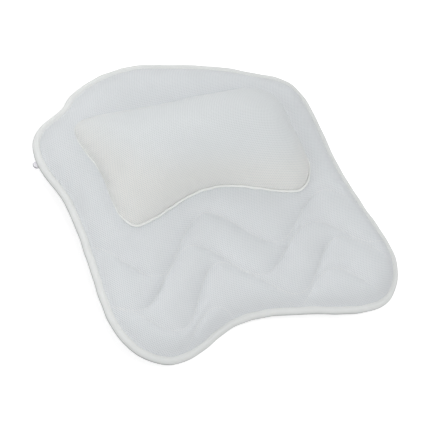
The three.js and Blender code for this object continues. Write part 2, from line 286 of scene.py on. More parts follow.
world = bpy.data.worlds.new("white_room")
scene.world = world
world.use_nodes = True
world.node_tree.nodes.clear()
wire = Wire(world.node_tree)
walls = wire.node("ShaderNodeBackground", None, {"Color": WHITE, "Strength": ROOM_LOW})
ceiling = wire.node("ShaderNodeBackground", None, {"Color": WHITE, "Strength": ROOM_HIGH})
direction = wire.node("ShaderNodeTexCoord", None, None, "Generated")
height = wire.node("ShaderNodeSeparateXYZ", None, {0: direction}, 2).most(0.0)
room = wire.node("ShaderNodeMixShader", None, {0: height, 1: walls, 2: ceiling})
white = wire.node("ShaderNodeBackground", None, {"Color": WHITE, "Strength": 1})
both = wire.node("ShaderNodeMixShader", None, {0: seen_directly(wire), 1: room, 2: white})
wire.node("ShaderNodeOutputWorld", None, {"Surface": both})
print("floor and room:", paper.name, world.name)

# %% [markdown]
# ## Lamps
# Four square lamps draw the form.
# One is above, one at the left, one behind, and a small one over the head pillow.
# They are broad for their distance, so shadows stay soft, and weak enough that white cloth doesn't clip.

# %% Soft lamps
# Name, direction, distance and size in metres, and power in watts
LAMPS = [
    ("top_lamp", (0.17, -0.3, 0.94), 1.5, 0.8, 10.9),
    ("side_lamp", (-0.94, 0, 0.34), 1.5, 0.8, 5.4),
    ("back_lamp", (0, 0.94, 0.34), 1.5, 0.8, 4.2),
    ("head_lamp", (-0.25, 0.55, 0.8), 0.75, 0.45, 0.6),
]

for name, toward, far, size, power in LAMPS:
    lamp = bpy.data.lights.new(name, "AREA")
    lamp.size = size
    lamp.energy = power
    holder = bpy.data.objects.new(name, lamp)
    scene.collection.objects.link(holder)
    toward = Vector(toward).normalized()
    holder.rotation_mode = "QUATERNION"
    holder.rotation_quaternion = toward.to_track_quat("Z", "Y")
    holder.location = VIEW_TARGET + toward * far

# %% [markdown]
# ## Fabric outlines
# The mat is cut to one smooth outline and the head pillow to another.
# Each half is given by a few landmarks: a place, a heading and an ease.
# Bezier curves join the landmarks, as a pattern cutter's curve would.


# %% Outlines from landmarks
def half_outline(landmarks, steps=120):
    """Right half of an outline in metres, from its top middle to its bottom middle."""
    runs = []
    for (x0, y0, heading0, ease0), (x1, y1, heading1, ease1) in zip(landmarks, landmarks[1:]):
        start = np.array((x0, y0), float)
        end = np.array((x1, y1), float)
        span = np.linalg.norm(end - start)
        angle0 = math.radians(heading0)
        angle1 = math.radians(heading1)
        leave = start + ease0 * span * np.array((math.cos(angle0), math.sin(angle0)))
        arrive = end - ease1 * span * np.array((math.cos(angle1), math.sin(angle1)))
        t = np.linspace(0, 1, steps, endpoint=False)[:, None]
        near = (1 - t) ** 3 * start + 3 * (1 - t) ** 2 * t * leave
        runs.append(near + 3 * (1 - t) * t**2 * arrive + t**3 * end)
    runs.append(np.array([landmarks[-1][:2]], float))
    return np.vstack(runs) * MM


def even_run(points, pitch, closed):
    """Points at an even pitch along a line or loop."""
    line = np.vstack([points, points[:1]]) if closed else points
    run = np.concatenate([[0], np.cumsum(np.linalg.norm(np.diff(line, axis=0), axis=1))])
    at = np.linspace(0, run[-1], round(run[-1] / pitch), endpoint=not closed)
    return np.column_stack([np.interp(at, run, line[:, i]) for i in range(line.shape[1])])


def whole_outline(right, left, pitch):
    """Closed outline of two halves, the left given mirrored.
    It runs counter-clockwise from its bottom middle."""
    mirrored = half_outline(left)[1:-1] * (-1, 1)
    return even_run(np.vstack([half_outline(right)[::-1], mirrored]), pitch, True)


def step_in(loop, inset):
    """Loop moved inwards, square to its own course, by one inset or by one for each point."""
    along = np.roll(loop, -1, axis=0) - np.roll(loop, 1, axis=0)
    along /= np.linalg.norm(along, axis=1)[:, None]
    return loop + np.reshape(inset, (-1, 1)) * np.column_stack([-along[:, 1], along[:, 0]])


print("outline helpers ready")

# %% [markdown]
# ## The two cuts
# Mat and head pillow are meant to be symmetric, but sewing wanders by a few millimetres.
# One half could be mirrored, but then the rim and the seam would look drawn by a machine.
# So the halves have landmarks of their own, and meet at the top and the bottom middle.

# %% Rim and head seam
# Place in mm, heading in degrees and ease as a share of the span
MAT_RIGHT = [
    (0, 189, -9.5, 0.41),
    (130.2, 155.2, -25.6, 0.28),
    (190.1, 98.3, -87.7, 0.53),
    (186.3, 6.9, -89.9, 0.40),
    (197.7, -106.4, -83.7, 0.43),
    (140.9, -187.1, 185.6, 0.30),
    (0, -163.1, 171.9, 0.52),
]
MAT_LEFT = [
    (0, 189, 9.5, 0.32),
    (126.9, 154.2, -45.9, 0.26),
    (190.8, 96.8, -83.2, 0.45),
    (181, 13.5, -87.5, 0.49),
    (193.2, -109.1, -85.6, 0.43),
    (141.2, -187.8, 185.4, 0.35),
    (0, -163.1, 188.1, 0.52),
]
HEAD_RIGHT = [
    (0, 122, 1.4, 0.75),
    (137.4, 81.8, -90, 0.33),
    (134.2, 44, -90, 0.34),
    (133.6, 6, -110.5, 0.34),
    (102.7, -25, 184.6, 0.25),
    (0, 1.6, 177.3, 0.35),
]
HEAD_LEFT = [
    (0, 122, -1.4, 0.75),
    (141.8, 96.2, -90, 0.24),
    (132.7, 44, -90, 0.34),
    (135.3, 6, -89.2, 0.49),
    (115.8, -25.1, 171.6, 0.35),
    (0, 1.6, 182.7, 0.40),
]
LOOP_PITCH = 3.6 * MM
rim = whole_outline(MAT_RIGHT, MAT_LEFT, LOOP_PITCH)
head_seam = whole_outline(HEAD_RIGHT, HEAD_LEFT, LOOP_PITCH)
print("rim points:", len(rim), "head seam points:", len(head_seam))

# %% [markdown]
# ## The quilting lines
# Four rows of stitching cross the mat in long waves and hold the filling in soft ridges.
# Every second row is shifted sideways, so neighbours nearly meet on one flank and open out on the other.
# A skewed cosine draws each row from its own numbers, because a guided needle never runs two rows alike.
# A soft minimum keeps a row from crossing the one above, and it stops where it meets the binding.

# %% Wave rows
WAVE_LENGTH = 165.5
WAVE_FADE = 0.035
WAVE_GAP = 2
WAVE_EASE = 0.35
# Middle height, swing, crest place, skew and tilt of each row, from the head pillow down
WAVE_ROWS = [
    (-56, 28.5, -30.3, 0.14, 0.008),
    (-91.5, 26.4, -66.7, 0.17, 0.004),
    (-122, 30, -41.7, 0.01, 0.012),
    (-167.1, 29.9, -74.6, 0.25, 0.101),
]
COURSE_REACH = 200
COURSE_STEPS = 1601
SHORTEST_RUN = 12
WAVE_PITCH = 3.4 * MM
TAPE_WIDTH = 8.0 * MM
WAVE_END_GAP = 2 * MM


def inside(points, loop):
    """Which points lie inside a closed loop."""
    x = points[:, 0, None]
    y = points[:, 1, None]
    ends = np.roll(loop, -1, axis=0)
    crosses = (loop[:, 1] > y) != (ends[:, 1] > y)
    rise = np.where(ends[:, 1] == loop[:, 1], 1e-12, ends[:, 1] - loop[:, 1])
    meets = loop[:, 0] + (y - loop[:, 1]) * (ends[:, 0] - loop[:, 0]) / rise
    return (crosses & (x < meets)).sum(axis=1) % 2 == 1


def wave_courses():
    """Course of each wave row across the mat, in metres."""
    x = np.linspace(-COURSE_REACH, COURSE_REACH, COURSE_STEPS)
    courses = []
    for middle, swing, crest, skew, tilt in WAVE_ROWS:
        phase = 2 * math.pi * (x - crest) / WAVE_LENGTH
        y = middle + tilt * x + (swing - WAVE_FADE * x) * np.cos(phase + skew * (1 - np.cos(phase)))
        if courses:
            limit = courses[-1] - WAVE_GAP
            y = -np.logaddexp(-WAVE_EASE * y, -WAVE_EASE * limit) / WAVE_EASE
        courses.append(y)
    return [np.column_stack([x, y]) * MM for y in courses]


def runs_within(line, loop, pitch):
    """Stretches of a line that lie inside a loop, each at an even pitch."""
    covered = inside(line, loop)
    cuts = np.flatnonzero(np.diff(covered.astype(int))) + 1
    pairs = zip(np.split(line, cuts), np.split(covered, cuts))
    return [even_run(run, pitch, False) for run, within in pairs if within[0] and len(run) > SHORTEST_RUN]


tape_edge = step_in(rim, TAPE_WIDTH)
sewn_area = step_in(rim, TAPE_WIDTH + WAVE_END_GAP)
waves = [run for course in wave_courses() for run in runs_within(course, sewn_area, WAVE_PITCH)]
print("wave stretches:", [len(run) for run in waves])

# %% [markdown]
# ## Cutting a panel
# A panel must have mesh edges exactly on its seams, or a seam turns into a staircase.
# A regular grid can't do that, so the panel is a constrained Delaunay triangulation.
# Its lines are the seams, and a honeycomb of points fills the rest.

# %% Panels with seams among their edges
LINE_CLEARANCE = 0.62
MERGE_DISTANCE = 1e-7


def path_to(points, line, closed):
    """Shortest way from each point to a line or loop."""
    starts = line if closed else line[:-1]
    edges = (np.roll(line, -1, axis=0) if closed else line[1:]) - starts
    shortest = np.full((len(points), 2), np.inf)
    for start, edge in zip(starts, edges):
        share = np.clip((points - start) @ edge / (edge @ edge), 0, 1)
        way = start + share[:, None] * edge - points
        closer = (way * way).sum(axis=1) < (shortest * shortest).sum(axis=1)
        shortest[closer] = way[closer]
    return shortest


def distance(points, line, closed):
    """Distance of each point from a line or loop."""
    return np.linalg.norm(path_to(points, line, closed), axis=1)


def cut_panel(loop, lines, pitch):
    """Flat panel inside a loop. Lines are (points, closed).
    Returns points, triangles and each point's line: 0 the loop, 1 and up the lines, -1 none."""
    low = loop.min(axis=0)
    high = loop.max(axis=0)
    rows = np.arange(low[1], high[1], pitch * math.sqrt(3) / 2)
    columns = np.arange(low[0] - pitch, high[0] + pitch, pitch)
    grid = np.array([(x + (j % 2) * pitch / 2, y) for j, y in enumerate(rows) for x in columns])
    grid = grid[inside(grid, loop)]
    coords = []
    edges = []
    owner = []
    for number, (line, closed) in enumerate([(loop, True), *lines]):
        grid = grid[distance(grid, line, closed) > LINE_CLEARANCE * pitch]
        first = len(coords)
        count = len(line)
        coords += [Vector(p) for p in line]
        owner += [number] * count
        edges += [(first + i, first + (i + 1) % count) for i in range(count if closed else count - 1)]
    border = [list(range(len(loop)))]
    coords += [Vector(p) for p in grid]
    owner += [-1] * len(grid)
    points, _, triangles, origins, _, _ = delaunay_2d_cdt(coords, edges, border, 1, MERGE_DISTANCE)
    kinds = np.array([owner[ids[0]] if ids else -1 for ids in origins])
    return np.array([tuple(p) for p in points]), [tuple(t) for t in triangles], kinds


print("panel helpers ready")

# %% [markdown]
# ## The mat's upper panel
# The panel ends a little way under the binding, where its raw edge is tucked in.
# Its seams are the head seam, the edge of the tape and the waves.

# %% Cut the mat panel
PANEL_PITCH = 4.2 * MM
HEM_TUCK = 2 * MM
HEAD_LINE = 1
hem_loop = step_in(rim, TAPE_WIDTH - HEM_TUCK)
mat_lines = [(head_seam, True), (tape_edge, True), *((run, False) for run in waves)]
mat_points, mat_triangles, mat_kinds = cut_panel(hem_loop, mat_lines, PANEL_PITCH)
print("mat panel:", len(mat_points), "points,", len(mat_triangles), "triangles")

# %% [markdown]
# ## Form of the mat
# The mat is a mesh bag over a foam pad, stitched through along the waves.
# Its puffs could be left to cloth alone, but cloth doesn't know how thick the wadding is.
# So the form is drawn first: a rolled edge at the binding, and a quarter round on both sides of each seam.
# A seam is drawn deeper where its row climbs than where it falls or runs level, as on the real quilting.

# %% Mat heights before filling
HEM_TOP_Z = 19.5 * MM
LIP_TOP_Z = 20.8 * MM
SHOULDER_Z = 32.5 * MM
CROWN_RISE = 3 * MM
WAVE_FLOOR_Z = 27.6 * MM
WAVE_LEVEL_RISE = 5.2 * MM
FALLING_PULL = 0.35
HEAD_SEAM_Z = 34.6 * MM
EDGE_ROLL = 20 * MM
CROWN_REACH = 50 * MM
WAVE_ROLL = 17 * MM


def quarter_round(share):
    """Rise from 0 to 1 along a quarter circle."""
    return np.sqrt(1 - (1 - np.clip(share, 0, 1)) ** 2)


def eased_rise(share):
    """Rise from 0 to 1 that slows down towards its end."""
    return 1 - (1 - np.clip(share, 0, 1)) ** 2


def rolled_edge(inset):
    """Rise from 0 at the binding to 1 where the rolled edge ends."""
    return eased_rise(inset / EDGE_ROLL)


from_tape = distance(mat_points, tape_edge, True) * inside(mat_points, tape_edge)
from_wave = np.min([distance(mat_points, run, False) for run in waves], axis=0)
wave_points = np.vstack(waves)
headings = np.vstack([np.gradient(run, axis=0) for run in waves])
wave_climb = headings[:, 1] / np.linalg.norm(headings, axis=1)
wave_pull = np.where(wave_climb > 0, wave_climb, -FALLING_PULL * wave_climb)
nearest_wave = [int(np.argmin(((wave_points - p) ** 2).sum(axis=1))) for p in mat_points]
floor_z = WAVE_FLOOR_Z + WAVE_LEVEL_RISE * (1 - wave_pull[nearest_wave])
edge_rise = rolled_edge(from_tape)
crown = CROWN_RISE * eased_rise(from_tape / CROWN_REACH)
cushion_z = LIP_TOP_Z + (SHOULDER_Z - LIP_TOP_Z) * edge_rise + crown
valley_z = LIP_TOP_Z + (floor_z - LIP_TOP_Z) * edge_rise
mat_z = valley_z + (cushion_z - valley_z) * quarter_round(from_wave / WAVE_ROLL)
under_head = inside(mat_points, head_seam) | (mat_kinds == HEAD_LINE)
mat_z[under_head] = HEAD_SEAM_Z
mat_z[mat_kinds == 0] = HEM_TOP_Z
mat_pins = np.flatnonzero((mat_kinds >= 0) | under_head)
print("pinned points:", len(mat_pins))

# %% [markdown]
# ## Meshes and their holders
# Points and faces become a mesh, and an object holds it while modifiers work on it.
# Folds sharper than the crease angle stay crisp, or the shading would run round a thin edge.

# %% Mesh helpers
CREASE_ANGLE = math.radians(45)


def mesh_of(name, points, faces):
    """Mesh with smooth faces."""
    mesh = bpy.data.meshes.new(name)
    mesh.from_pydata([tuple(p) for p in points], [], faces)
    mesh.shade_smooth()
    return mesh


def creased(mesh):
    """Smooth mesh whose folds stay crisp, so that its shading doesn't run round a thin edge."""
    mesh.shade_smooth()
    mesh.set_sharp_from_angle(angle=CREASE_ANGLE)
    return mesh


def vertices_of(mesh):
    """Vertex places as rows."""
    places = np.zeros(len(mesh.vertices) * 3)
    mesh.vertices.foreach_get("co", places)
    return places.reshape(-1, 3)


def held(mesh):
    """Object that holds a mesh while modifiers work on it."""
    holder = bpy.data.objects.new("holder", mesh)
    scene.collection.objects.link(holder)
    return holder


def evaluated(holder):
    """Object with its modifiers worked out."""
    return holder.evaluated_get(bpy.context.evaluated_depsgraph_get())


print("mesh helpers ready, crease angle in degrees:", round(math.degrees(CREASE_ANGLE)))

# %% [markdown]
# ## Cloth under pressure
# Drawn heights are too regular, so cloth under pressure settles the fabric between its sewn points.
# One helper does it: it pins the sewn points, turns gravity off and steps the cloth through a few frames.
# A cap keeps any point from moving too far.
# The result becomes a plain mesh, so no cloth is left on a piece.
# The cloth moves the mat by a couple of millimetres at most, so the drawn form stays.

# %% Fill a panel
CLOTH_QUALITY = 6
CLOTH_MASS = 0.15
CLOTH_STRETCH = 12
CLOTH_SHEAR = 6
MAT_FILLING = {"pressure": 70.0, "frames": 30, "cap": 7 * MM, "bending": 0.6}


def inflate(points, triangles, pins, pressure, frames, cap, bending):
    """Points of a panel after pressure has filled it."""
    panel = held(mesh_of("panel", points, triangles))
    sewn = panel.vertex_groups.new(name="sewn")
    sewn.add([int(i) for i in pins], 1.0, "REPLACE")
    cloth = panel.modifiers.new("filling", "CLOTH")
    cloth.settings.quality = CLOTH_QUALITY
    cloth.settings.mass = CLOTH_MASS
    cloth.settings.tension_stiffness = CLOTH_STRETCH
    cloth.settings.compression_stiffness = CLOTH_STRETCH
    cloth.settings.shear_stiffness = CLOTH_SHEAR
    cloth.settings.bending_stiffness = bending
    cloth.settings.use_pressure = True
    cloth.settings.uniform_pressure_force = pressure
    cloth.settings.vertex_group_mass = "sewn"
    cloth.settings.effector_weights.gravity = 0
    cloth.collision_settings.use_collision = False
    cloth.point_cache.frame_start = 1
    cloth.point_cache.frame_end = frames
    for number in range(1, frames + 1):
        scene.frame_set(number)
    shift = vertices_of(evaluated(panel).to_mesh()) - points
    reach = np.linalg.norm(shift, axis=1)[:, None]
    shift *= np.minimum(1, cap / np.maximum(reach, 1e-9))
    mesh = panel.data
    bpy.data.objects.remove(panel)
    bpy.data.meshes.remove(mesh)
    scene.frame_set(1)
    mean = round(float(shift[:, 2].mean()) / MM, 2)
    print("filled a panel: mean rise", mean, "mm, most", round(float(reach.max()) / MM, 2))
    return points + shift


mat_surface = np.column_stack([mat_points, mat_z])
mat_surface = inflate(mat_surface, mat_triangles, mat_pins, **MAT_FILLING)
print("mat top in mm:", round(float(mat_surface[:, 2].max()) / MM, 1))

# %% [markdown]
# ## Air mesh, the fabric of mat and pillow
# The fabric is a knitted spacer mesh: small round eyelets in a honeycomb, with plump ribs between them.
# Real holes would need millions of faces, so the shader works out the distance to the nearest eyelet.
# That one mask tints the eyelets darker as painted shade inside the holes, sinks them in the bump and leaves
# the ribs proud.
# The head pillow's fabric is tinted a little warmer low on its front, a painted warm light on its low walls.

# %% Mesh fabric finish
EYELET_PITCH = 2.3 * MM
EYELET_RADIUS = 0.27
EYELET_SOFT = 0.16
KNIT_ACROSS = 5
KNIT_ALONG = 4
KNIT_DEPTH = 0.18


def honeycomb(u, v):
    """Distance to the nearest point of a honeycomb of pitch 1."""
    row = math.sqrt(3)
    far = None
    for shift in (0, 0.5):
        across = (u + shift).fraction() - 0.5
        along = ((v / row + shift).fraction() - 0.5) * row
        here = (across * across + along * along) ** 0.5
        far = here if far is None else far.least(here)
    return far


def mesh_fabric(name, rib, eyelet, patch, warm_light=None):
    """Air mesh with ribs, eyelets and slow patches of a third colour.
    A painted warm light (colour, direction, start, end) turns the ribs to its colour along a direction."""
    material, wire, shader = new_material(
        name, Specular_IOR_Level=0.25, Sheen_Weight=0.12, Sheen_Roughness=0.45
    )
    u, v = (place / EYELET_PITCH for place in cloth_place(wire))
    hole = 1 - honeycomb(u, v).soft_step(EYELET_RADIUS - EYELET_SOFT, EYELET_RADIUS + EYELET_SOFT)
    knit = ((u * (2 * math.pi * KNIT_ACROSS)).sine() * (v * (2 * math.pi * KNIT_ALONG)).sine()) * 0.5 + 0.5
    ground = tinted(wire, clouds(wire, scale=14.0, detail=3.0).soft_step(0.35, 0.7), rib, patch)
    # Painted warm light: the ribs turn warmer along the direction
    if warm_light:
        warm, direction, start, end = warm_light
        inputs = {0: object_place(wire), 1: direction}
        run = wire.node("ShaderNodeVectorMath", {"operation": "DOT_PRODUCT"}, inputs, "Value")
        ground = tinted(wire, run.soft_step(start, end), ground, warm)
    height = (1 - hole) + knit * KNIT_DEPTH * (1 - hole)
    # Painted shade: the eyelets' darker colour stands for the shade inside each hole
    wire.feed(shader, {
        "Base Color": tinted(wire, hole, ground, eyelet),
        "Roughness": 0.74 + hole * 0.2,
        "Normal": relief(wire, height, strength=0.55, depth=0.45 * MM),
    })
    return material


mat_mesh = mesh_fabric(
    "mat_mesh", linear(220.5, 223.5, 225.5), linear(199.5, 203.5, 207.5), linear(216.5, 219.5, 221.5)
)
# Painted warm light on the head pillow's low front and walls
HEAD_WARM_LIGHT = (linear(222, 222, 219), (-0.1, -0.35, -1.0), -0.09, -0.05)
head_mesh = mesh_fabric(
    "head_mesh", linear(219, 222.5, 224), linear(201, 205, 207), linear(217, 220.5, 222), HEAD_WARM_LIGHT
)
print("fabrics:", mat_mesh.name, head_mesh.name)

# %% [markdown]
# ## From a mesh to a piece
# Every piece that shows is a plain mesh with one finish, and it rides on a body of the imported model.
# The same few steps come back for each: round a mesh, lay its cloth map, and hand it over by name.


# %% Helpers for pieces
def released(holder):
    """Plain mesh of a holder with its modifiers applied. The holder goes."""
    mesh = bpy.data.meshes.new_from_object(evaluated(holder))
    bpy.data.objects.remove(holder)
    return mesh


def rounded(mesh):
    """Mesh after one step of a subdivision surface."""
    holder = held(mesh)
    soft = holder.modifiers.new("round", "SUBSURF")
    soft.levels = 1
    soft.render_levels = 1
    soft.boundary_smooth = "PRESERVE_CORNERS"
    smooth = released(holder)
    smooth.shade_smooth()
    return smooth


def corners_of(mesh):
    """Vertex of each face corner."""
    corners = np.zeros(len(mesh.loops), int)
    mesh.loops.foreach_get("vertex_index", corners)
    return corners


def lay_cloth(mesh, plan):
    """UV map named cloth, in metres, from each vertex's place on the cloth."""
    layer = mesh.uv_layers.new(name="cloth")
    layer.data.foreach_set("uv", plan[corners_of(mesh)].astype(np.float32).ravel())


def finished(name, mesh, body, slot, material, *nodes):
    """Piece that shows, rides on a body and stands for CAD nodes."""
    piece = bpy.data.objects.new(name, mesh)
    scene.collection.objects.link(piece)
    mesh.materials.clear()
    mesh.materials.append(material)
    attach(piece, body)
    if nodes:
        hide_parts(*nodes)
    return piece


def circle(place, radius, count):
    """Ring of points round a place."""
    angle = np.linspace(0, 2 * math.pi, count, endpoint=False)
    return place + radius * np.column_stack([np.cos(angle), np.sin(angle)])


print("piece helpers ready")

# %% [markdown]
# ## Closing the mat
# The filled panel is only the upper face.
# Its hem runs out under the binding, turns and comes back below as a flat base.
# The base has a pocket over each cup stud.

# %% Bag with a flat base
MAT_BASE_Z = 16.8 * MM
BASE_PITCH = 14 * MM
POCKET_RADIUS = 12.5 * MM
POCKET_WALL = 1.2 * MM
POCKET_TOP_Z = 25 * MM
POCKET_SIDES = 28
CUP_PLACES = [(-146, 92), (146, 92), (-110, -18), (110, -18), (-132, -123), (132, -123)]
cup_places = [np.array(place) * MM for place in CUP_PLACES]


def base_panel(loop):
    """Flat base in a loop with two rings at each cup.
    Returns points, triangles turned down, which points a pocket lifts, and each point's line."""
    radii = (POCKET_RADIUS, POCKET_RADIUS - POCKET_WALL)
    rings = [(circle(place, radius, POCKET_SIDES), True) for place in cup_places for radius in radii]
    points, triangles, kinds = cut_panel(loop, rings, BASE_PITCH)
    away = np.min([np.linalg.norm(points - place, axis=1) for place in cup_places], axis=0)
    return points, [t[::-1] for t in triangles], away < POCKET_RADIUS - POCKET_WALL / 2, kinds


def bridge(upper, lower):
    """Faces between two rings of vertex numbers."""
    count = len(upper)
    pairs = [(i, (i + 1) % count) for i in range(count)]
    return [(upper[i], lower[i], lower[n], upper[n]) for i, n in pairs]


def closed_bag(name, top, triangles, kinds, rings):
    """Panel closed below: rings (points in plan, height) lead from its loop to a flat base with pockets."""
    last = np.flatnonzero(kinds == 0)
    points = [top]
    faces = list(triangles)
    total = len(top)
    for plan, z in rings:
        points.append(np.column_stack([plan, np.full(len(plan), z)]))
        here = np.arange(total, total + len(plan))
        faces += bridge(last, here)
        total += len(plan)
        last = here
    base, base_faces, lifted, base_kinds = base_panel(rings[-1][0])
    points.append(np.column_stack([base, np.where(lifted, POCKET_TOP_Z, MAT_BASE_Z)]))
    faces += [tuple(total + i for i in t) for t in base_faces]
    faces += bridge(last, total + np.flatnonzero(base_kinds == 0))
    return mesh_of(name, np.vstack(points), faces)


print("cup places in mm:", CUP_PLACES)

# %% [markdown]
# ## The mat pad
# One subdivision rounds the triangles, as knitted cloth has no corners.
# Laid on from above, the weave would stretch where the edge rolls down.
# So the cloth map is pushed outwards there by the spare length, and the eyelets keep their size.

# %% Mat pad
HEM_REACH = 4 * MM
HEM_TOP_DROP = 0.2 * MM
HEM_FOOT_RISE = 0.3 * MM
HEM_FOOT_STEP = 0.6 * MM
ROLL_STEPS = 80


def smoothed_out(plan):
    """Places on the cloth once its rolled edge is smoothed out flat."""
    inset = np.linspace(0, EDGE_ROLL, ROLL_STEPS)
    climb = np.hypot(np.diff(inset), np.diff(rolled_edge(inset) * (SHOULDER_Z - LIP_TOP_Z)))
    spare = np.append(np.cumsum((climb - np.diff(inset))[::-1])[::-1], 0)
    way = path_to(plan, tape_edge, True)
    reach = np.linalg.norm(way, axis=1)
    outward = way / np.maximum(reach, 1e-6)[:, None]
    return plan + outward * (np.interp(reach, inset, spare) * inside(plan, tape_edge))[:, None]


hem_rings = [
    (step_in(rim, HEM_REACH), HEM_TOP_Z - HEM_TOP_DROP),
    (step_in(rim, HEM_REACH), MAT_BASE_Z + HEM_FOOT_RISE),
    (step_in(rim, HEM_REACH + HEM_FOOT_STEP), MAT_BASE_Z),
]
pad_mesh = rounded(closed_bag("mat_pad", mat_surface, mat_triangles, mat_kinds, hem_rings))
lay_cloth(pad_mesh, smoothed_out(vertices_of(pad_mesh)[:, :2]))
mat_pad = finished("mat_pad", pad_mesh, "pillow", "mesh_fabric", mat_mesh, "front_panel", "pad_core")
print("mat pad faces:", len(pad_mesh.polygons))

# %% [markdown]
# ## The head pillow
# The pillow is a second bag, cut like a butterfly so that its ends cradle the head, and stuffed much fuller.
# Its form is a membrane: every point sits at the mean of its neighbours plus a steady lift.
# A root of that membrane gives steep sides and a broad crown, and its ends bulge a little over the seam.
# Cloth under pressure then settles it by less than a millimetre.

# %% Membrane over the head seam
HEAD_PITCH = 3.8 * MM
HEAD_FOOT_Z = 35.2 * MM
HEAD_CROWN = 45.4 * MM
HEAD_STEEPNESS = 0.75
NECK_BIAS = -0.25
END_BULGE = 2.2 * MM
BULGE_HEIGHT = 16 * MM
BULGE_START = 55 * MM
BULGE_SPAN = 50 * MM
HEAD_FILLING = {"pressure": 3.0, "frames": 24, "cap": 5 * MM, "bending": 0.8}


def membrane(points, triangles, fixed, load):
    """Height of a loaded membrane over a panel, from 0 on its fixed points to 1 at its top."""
    count = len(points)
    links = np.zeros((count, count))
    for a, b, c in triangles:
        links[a, b] = links[b, a] = links[b, c] = links[c, b] = links[c, a] = links[a, c] = 1
    free = np.flatnonzero(~fixed)
    pull = np.diag(links.sum(axis=1)) - links
    height = np.zeros(count)
    height[free] = np.linalg.solve(pull[np.ix_(free, free)], load[free])
    return height / height.max()


head_points, head_triangles, head_kinds = cut_panel(head_seam, [], HEAD_PITCH)
head_foot = head_kinds == 0
head_middle = (head_seam[:, 1].min() + head_seam[:, 1].max()) / 2
head_load = 1 + NECK_BIAS * (head_middle - head_points[:, 1]) / (np.ptp(head_seam[:, 1]) / 2)
head_rise = membrane(head_points, head_triangles, head_foot, head_load)
head_z = HEAD_FOOT_Z + HEAD_CROWN * head_rise**HEAD_STEEPNESS
wall_share = np.clip((head_z - HEAD_FOOT_Z) / BULGE_HEIGHT, 0, 1)
toward_end = np.clip((np.abs(head_points[:, 0]) - BULGE_START) / BULGE_SPAN, 0, 1)
way_out = path_to(head_points, head_seam, True)
way_out /= np.maximum(np.linalg.norm(way_out, axis=1), 1e-6)[:, None]
bulge = END_BULGE * toward_end * np.sin(math.pi * wall_share)
head_surface = np.column_stack([head_points + way_out * bulge[:, None], head_z])
head_surface = inflate(head_surface, head_triangles, np.flatnonzero(head_foot), **HEAD_FILLING)
print("head pillow crown in mm:", round(float(head_surface[:, 2].max()) / MM, 1))

# %% [markdown]
# ## Cloth laid flat
# On the steep pillow a weave projected from above would smear.
# Blender can unwrap the dome with little stretch, and a best fit turns and scales the result back to metres.
# The eyelets then keep their size all the way down to the seam.


# %% Laying a dome flat
def unwrapped(mesh):
    """Flat place of each vertex, from an unwrap of the whole mesh."""
    holder = held(mesh)
    mesh.uv_layers.new(name="flat")
    bpy.context.view_layer.objects.active = holder
    for polygon in mesh.polygons:
        polygon.select = True
    bpy.ops.object.mode_set(mode="EDIT")
    bpy.ops.uv.unwrap(method="ANGLE_BASED", margin=0)
    bpy.ops.object.mode_set(mode="OBJECT")
    layer = mesh.uv_layers["flat"]
    flat = np.zeros(len(mesh.loops) * 2, np.float32)
    layer.data.foreach_get("uv", flat)
    place = np.zeros((len(mesh.vertices), 2))
    place[corners_of(mesh)] = flat.reshape(-1, 2)
    mesh.uv_layers.remove(layer)
    bpy.data.objects.remove(holder)
    return place


def fit_to_plan(flat, plan):
    """Flat places turned and scaled onto their plan."""
    flat = flat - flat.mean(axis=0)
    goal = plan - plan.mean(axis=0)
    left, _, right = np.linalg.svd(flat.T @ goal)
    turned_flat = flat @ left @ right
    return turned_flat * (np.linalg.norm(goal) / np.linalg.norm(turned_flat))


def area_of(points, triangles):
    """Area of triangles in a plane or in space."""
    space = np.pad(points, ((0, 0), (0, 3 - points.shape[1])))
    a, b, c = (space[np.array(triangles)[:, i]] for i in range(3))
    return np.linalg.norm(np.cross(b - a, c - a), axis=1).sum() / 2


print("unwrap helpers ready")

# %% [markdown]
# ## The head pillow's cover
# The rounded dome is open below, so its foot is closed with flat faces.
# The flat cloth is scaled to the dome's own area, which the unwrap doesn't keep.

# %% Head pillow
dome = rounded(mesh_of("dome", head_surface, head_triangles))
dome_points = vertices_of(dome)
flat = fit_to_plan(unwrapped(dome), dome_points[:, :2])
quads = [tuple(p.vertices) for p in dome.polygons]
halves = [t for a, b, c, d in quads for t in ((a, b, c), (a, c, d))]
flat *= math.sqrt(area_of(dome_points, halves) / area_of(flat, halves))
shell = bmesh.new()
shell.from_mesh(dome)
foot_edges = [e for e in shell.edges if e.is_boundary]
bmesh.ops.triangle_fill(shell, use_beauty=True, use_dissolve=False, edges=foot_edges)
bmesh.ops.recalc_face_normals(shell, faces=shell.faces[:])
shell.to_mesh(dome)
shell.free()
creased(dome)
lay_cloth(dome, flat)
head_nodes = ("head_pillow_cover", "head_pillow_core")
head_pillow = finished("head_pillow", dome, "pillow", "mesh_fabric", head_mesh, *head_nodes)
print("head pillow faces:", len(dome.polygons))

# %% [markdown]
# ## Binding tape
# A soft tape is folded over the raw edges of the mat and sewn through, so the rim looks like a rolled cord.
# It could be a pipe, but a real binding is thin cloth bent round the edge, and from below its fold shows.
# The section is that fold, and it is carried round the rim with the small ripples of hand-guided sewing.

# %% Folded tape
TAPE_THICKNESS = 1.0 * MM
TAPE_MIDDLE_Z = 16.8 * MM
TAPE_HALF_HEIGHT = 4.6 * MM
TAPE_ROLL = 5.2 * MM
FOLD_STEPS = 19
LIP_DROP = 1.0 * MM
LIP_STEP = 2 * MM
LIP_STEP_DROP = 0.25 * MM
FINE_PITCH = 2.0 * MM
# Count of waves round the rim, size and phase
HEAVE_WAVES = [(31, 0.22 * MM, 0.4), (53, 0.16 * MM, 2.0)]
SWAY_WAVES = [(23, 0.2 * MM, 1.1), (47, 0.14 * MM, 0.3)]


def ripple(loop, waves_of):
    """Gentle unevenness round a fine loop, from a few sines of (count, size, phase)."""
    turn_of = 2 * math.pi * np.arange(len(loop)) / len(loop)
    return sum(size * np.sin(turn_of * count + phase) for count, size, phase in waves_of)


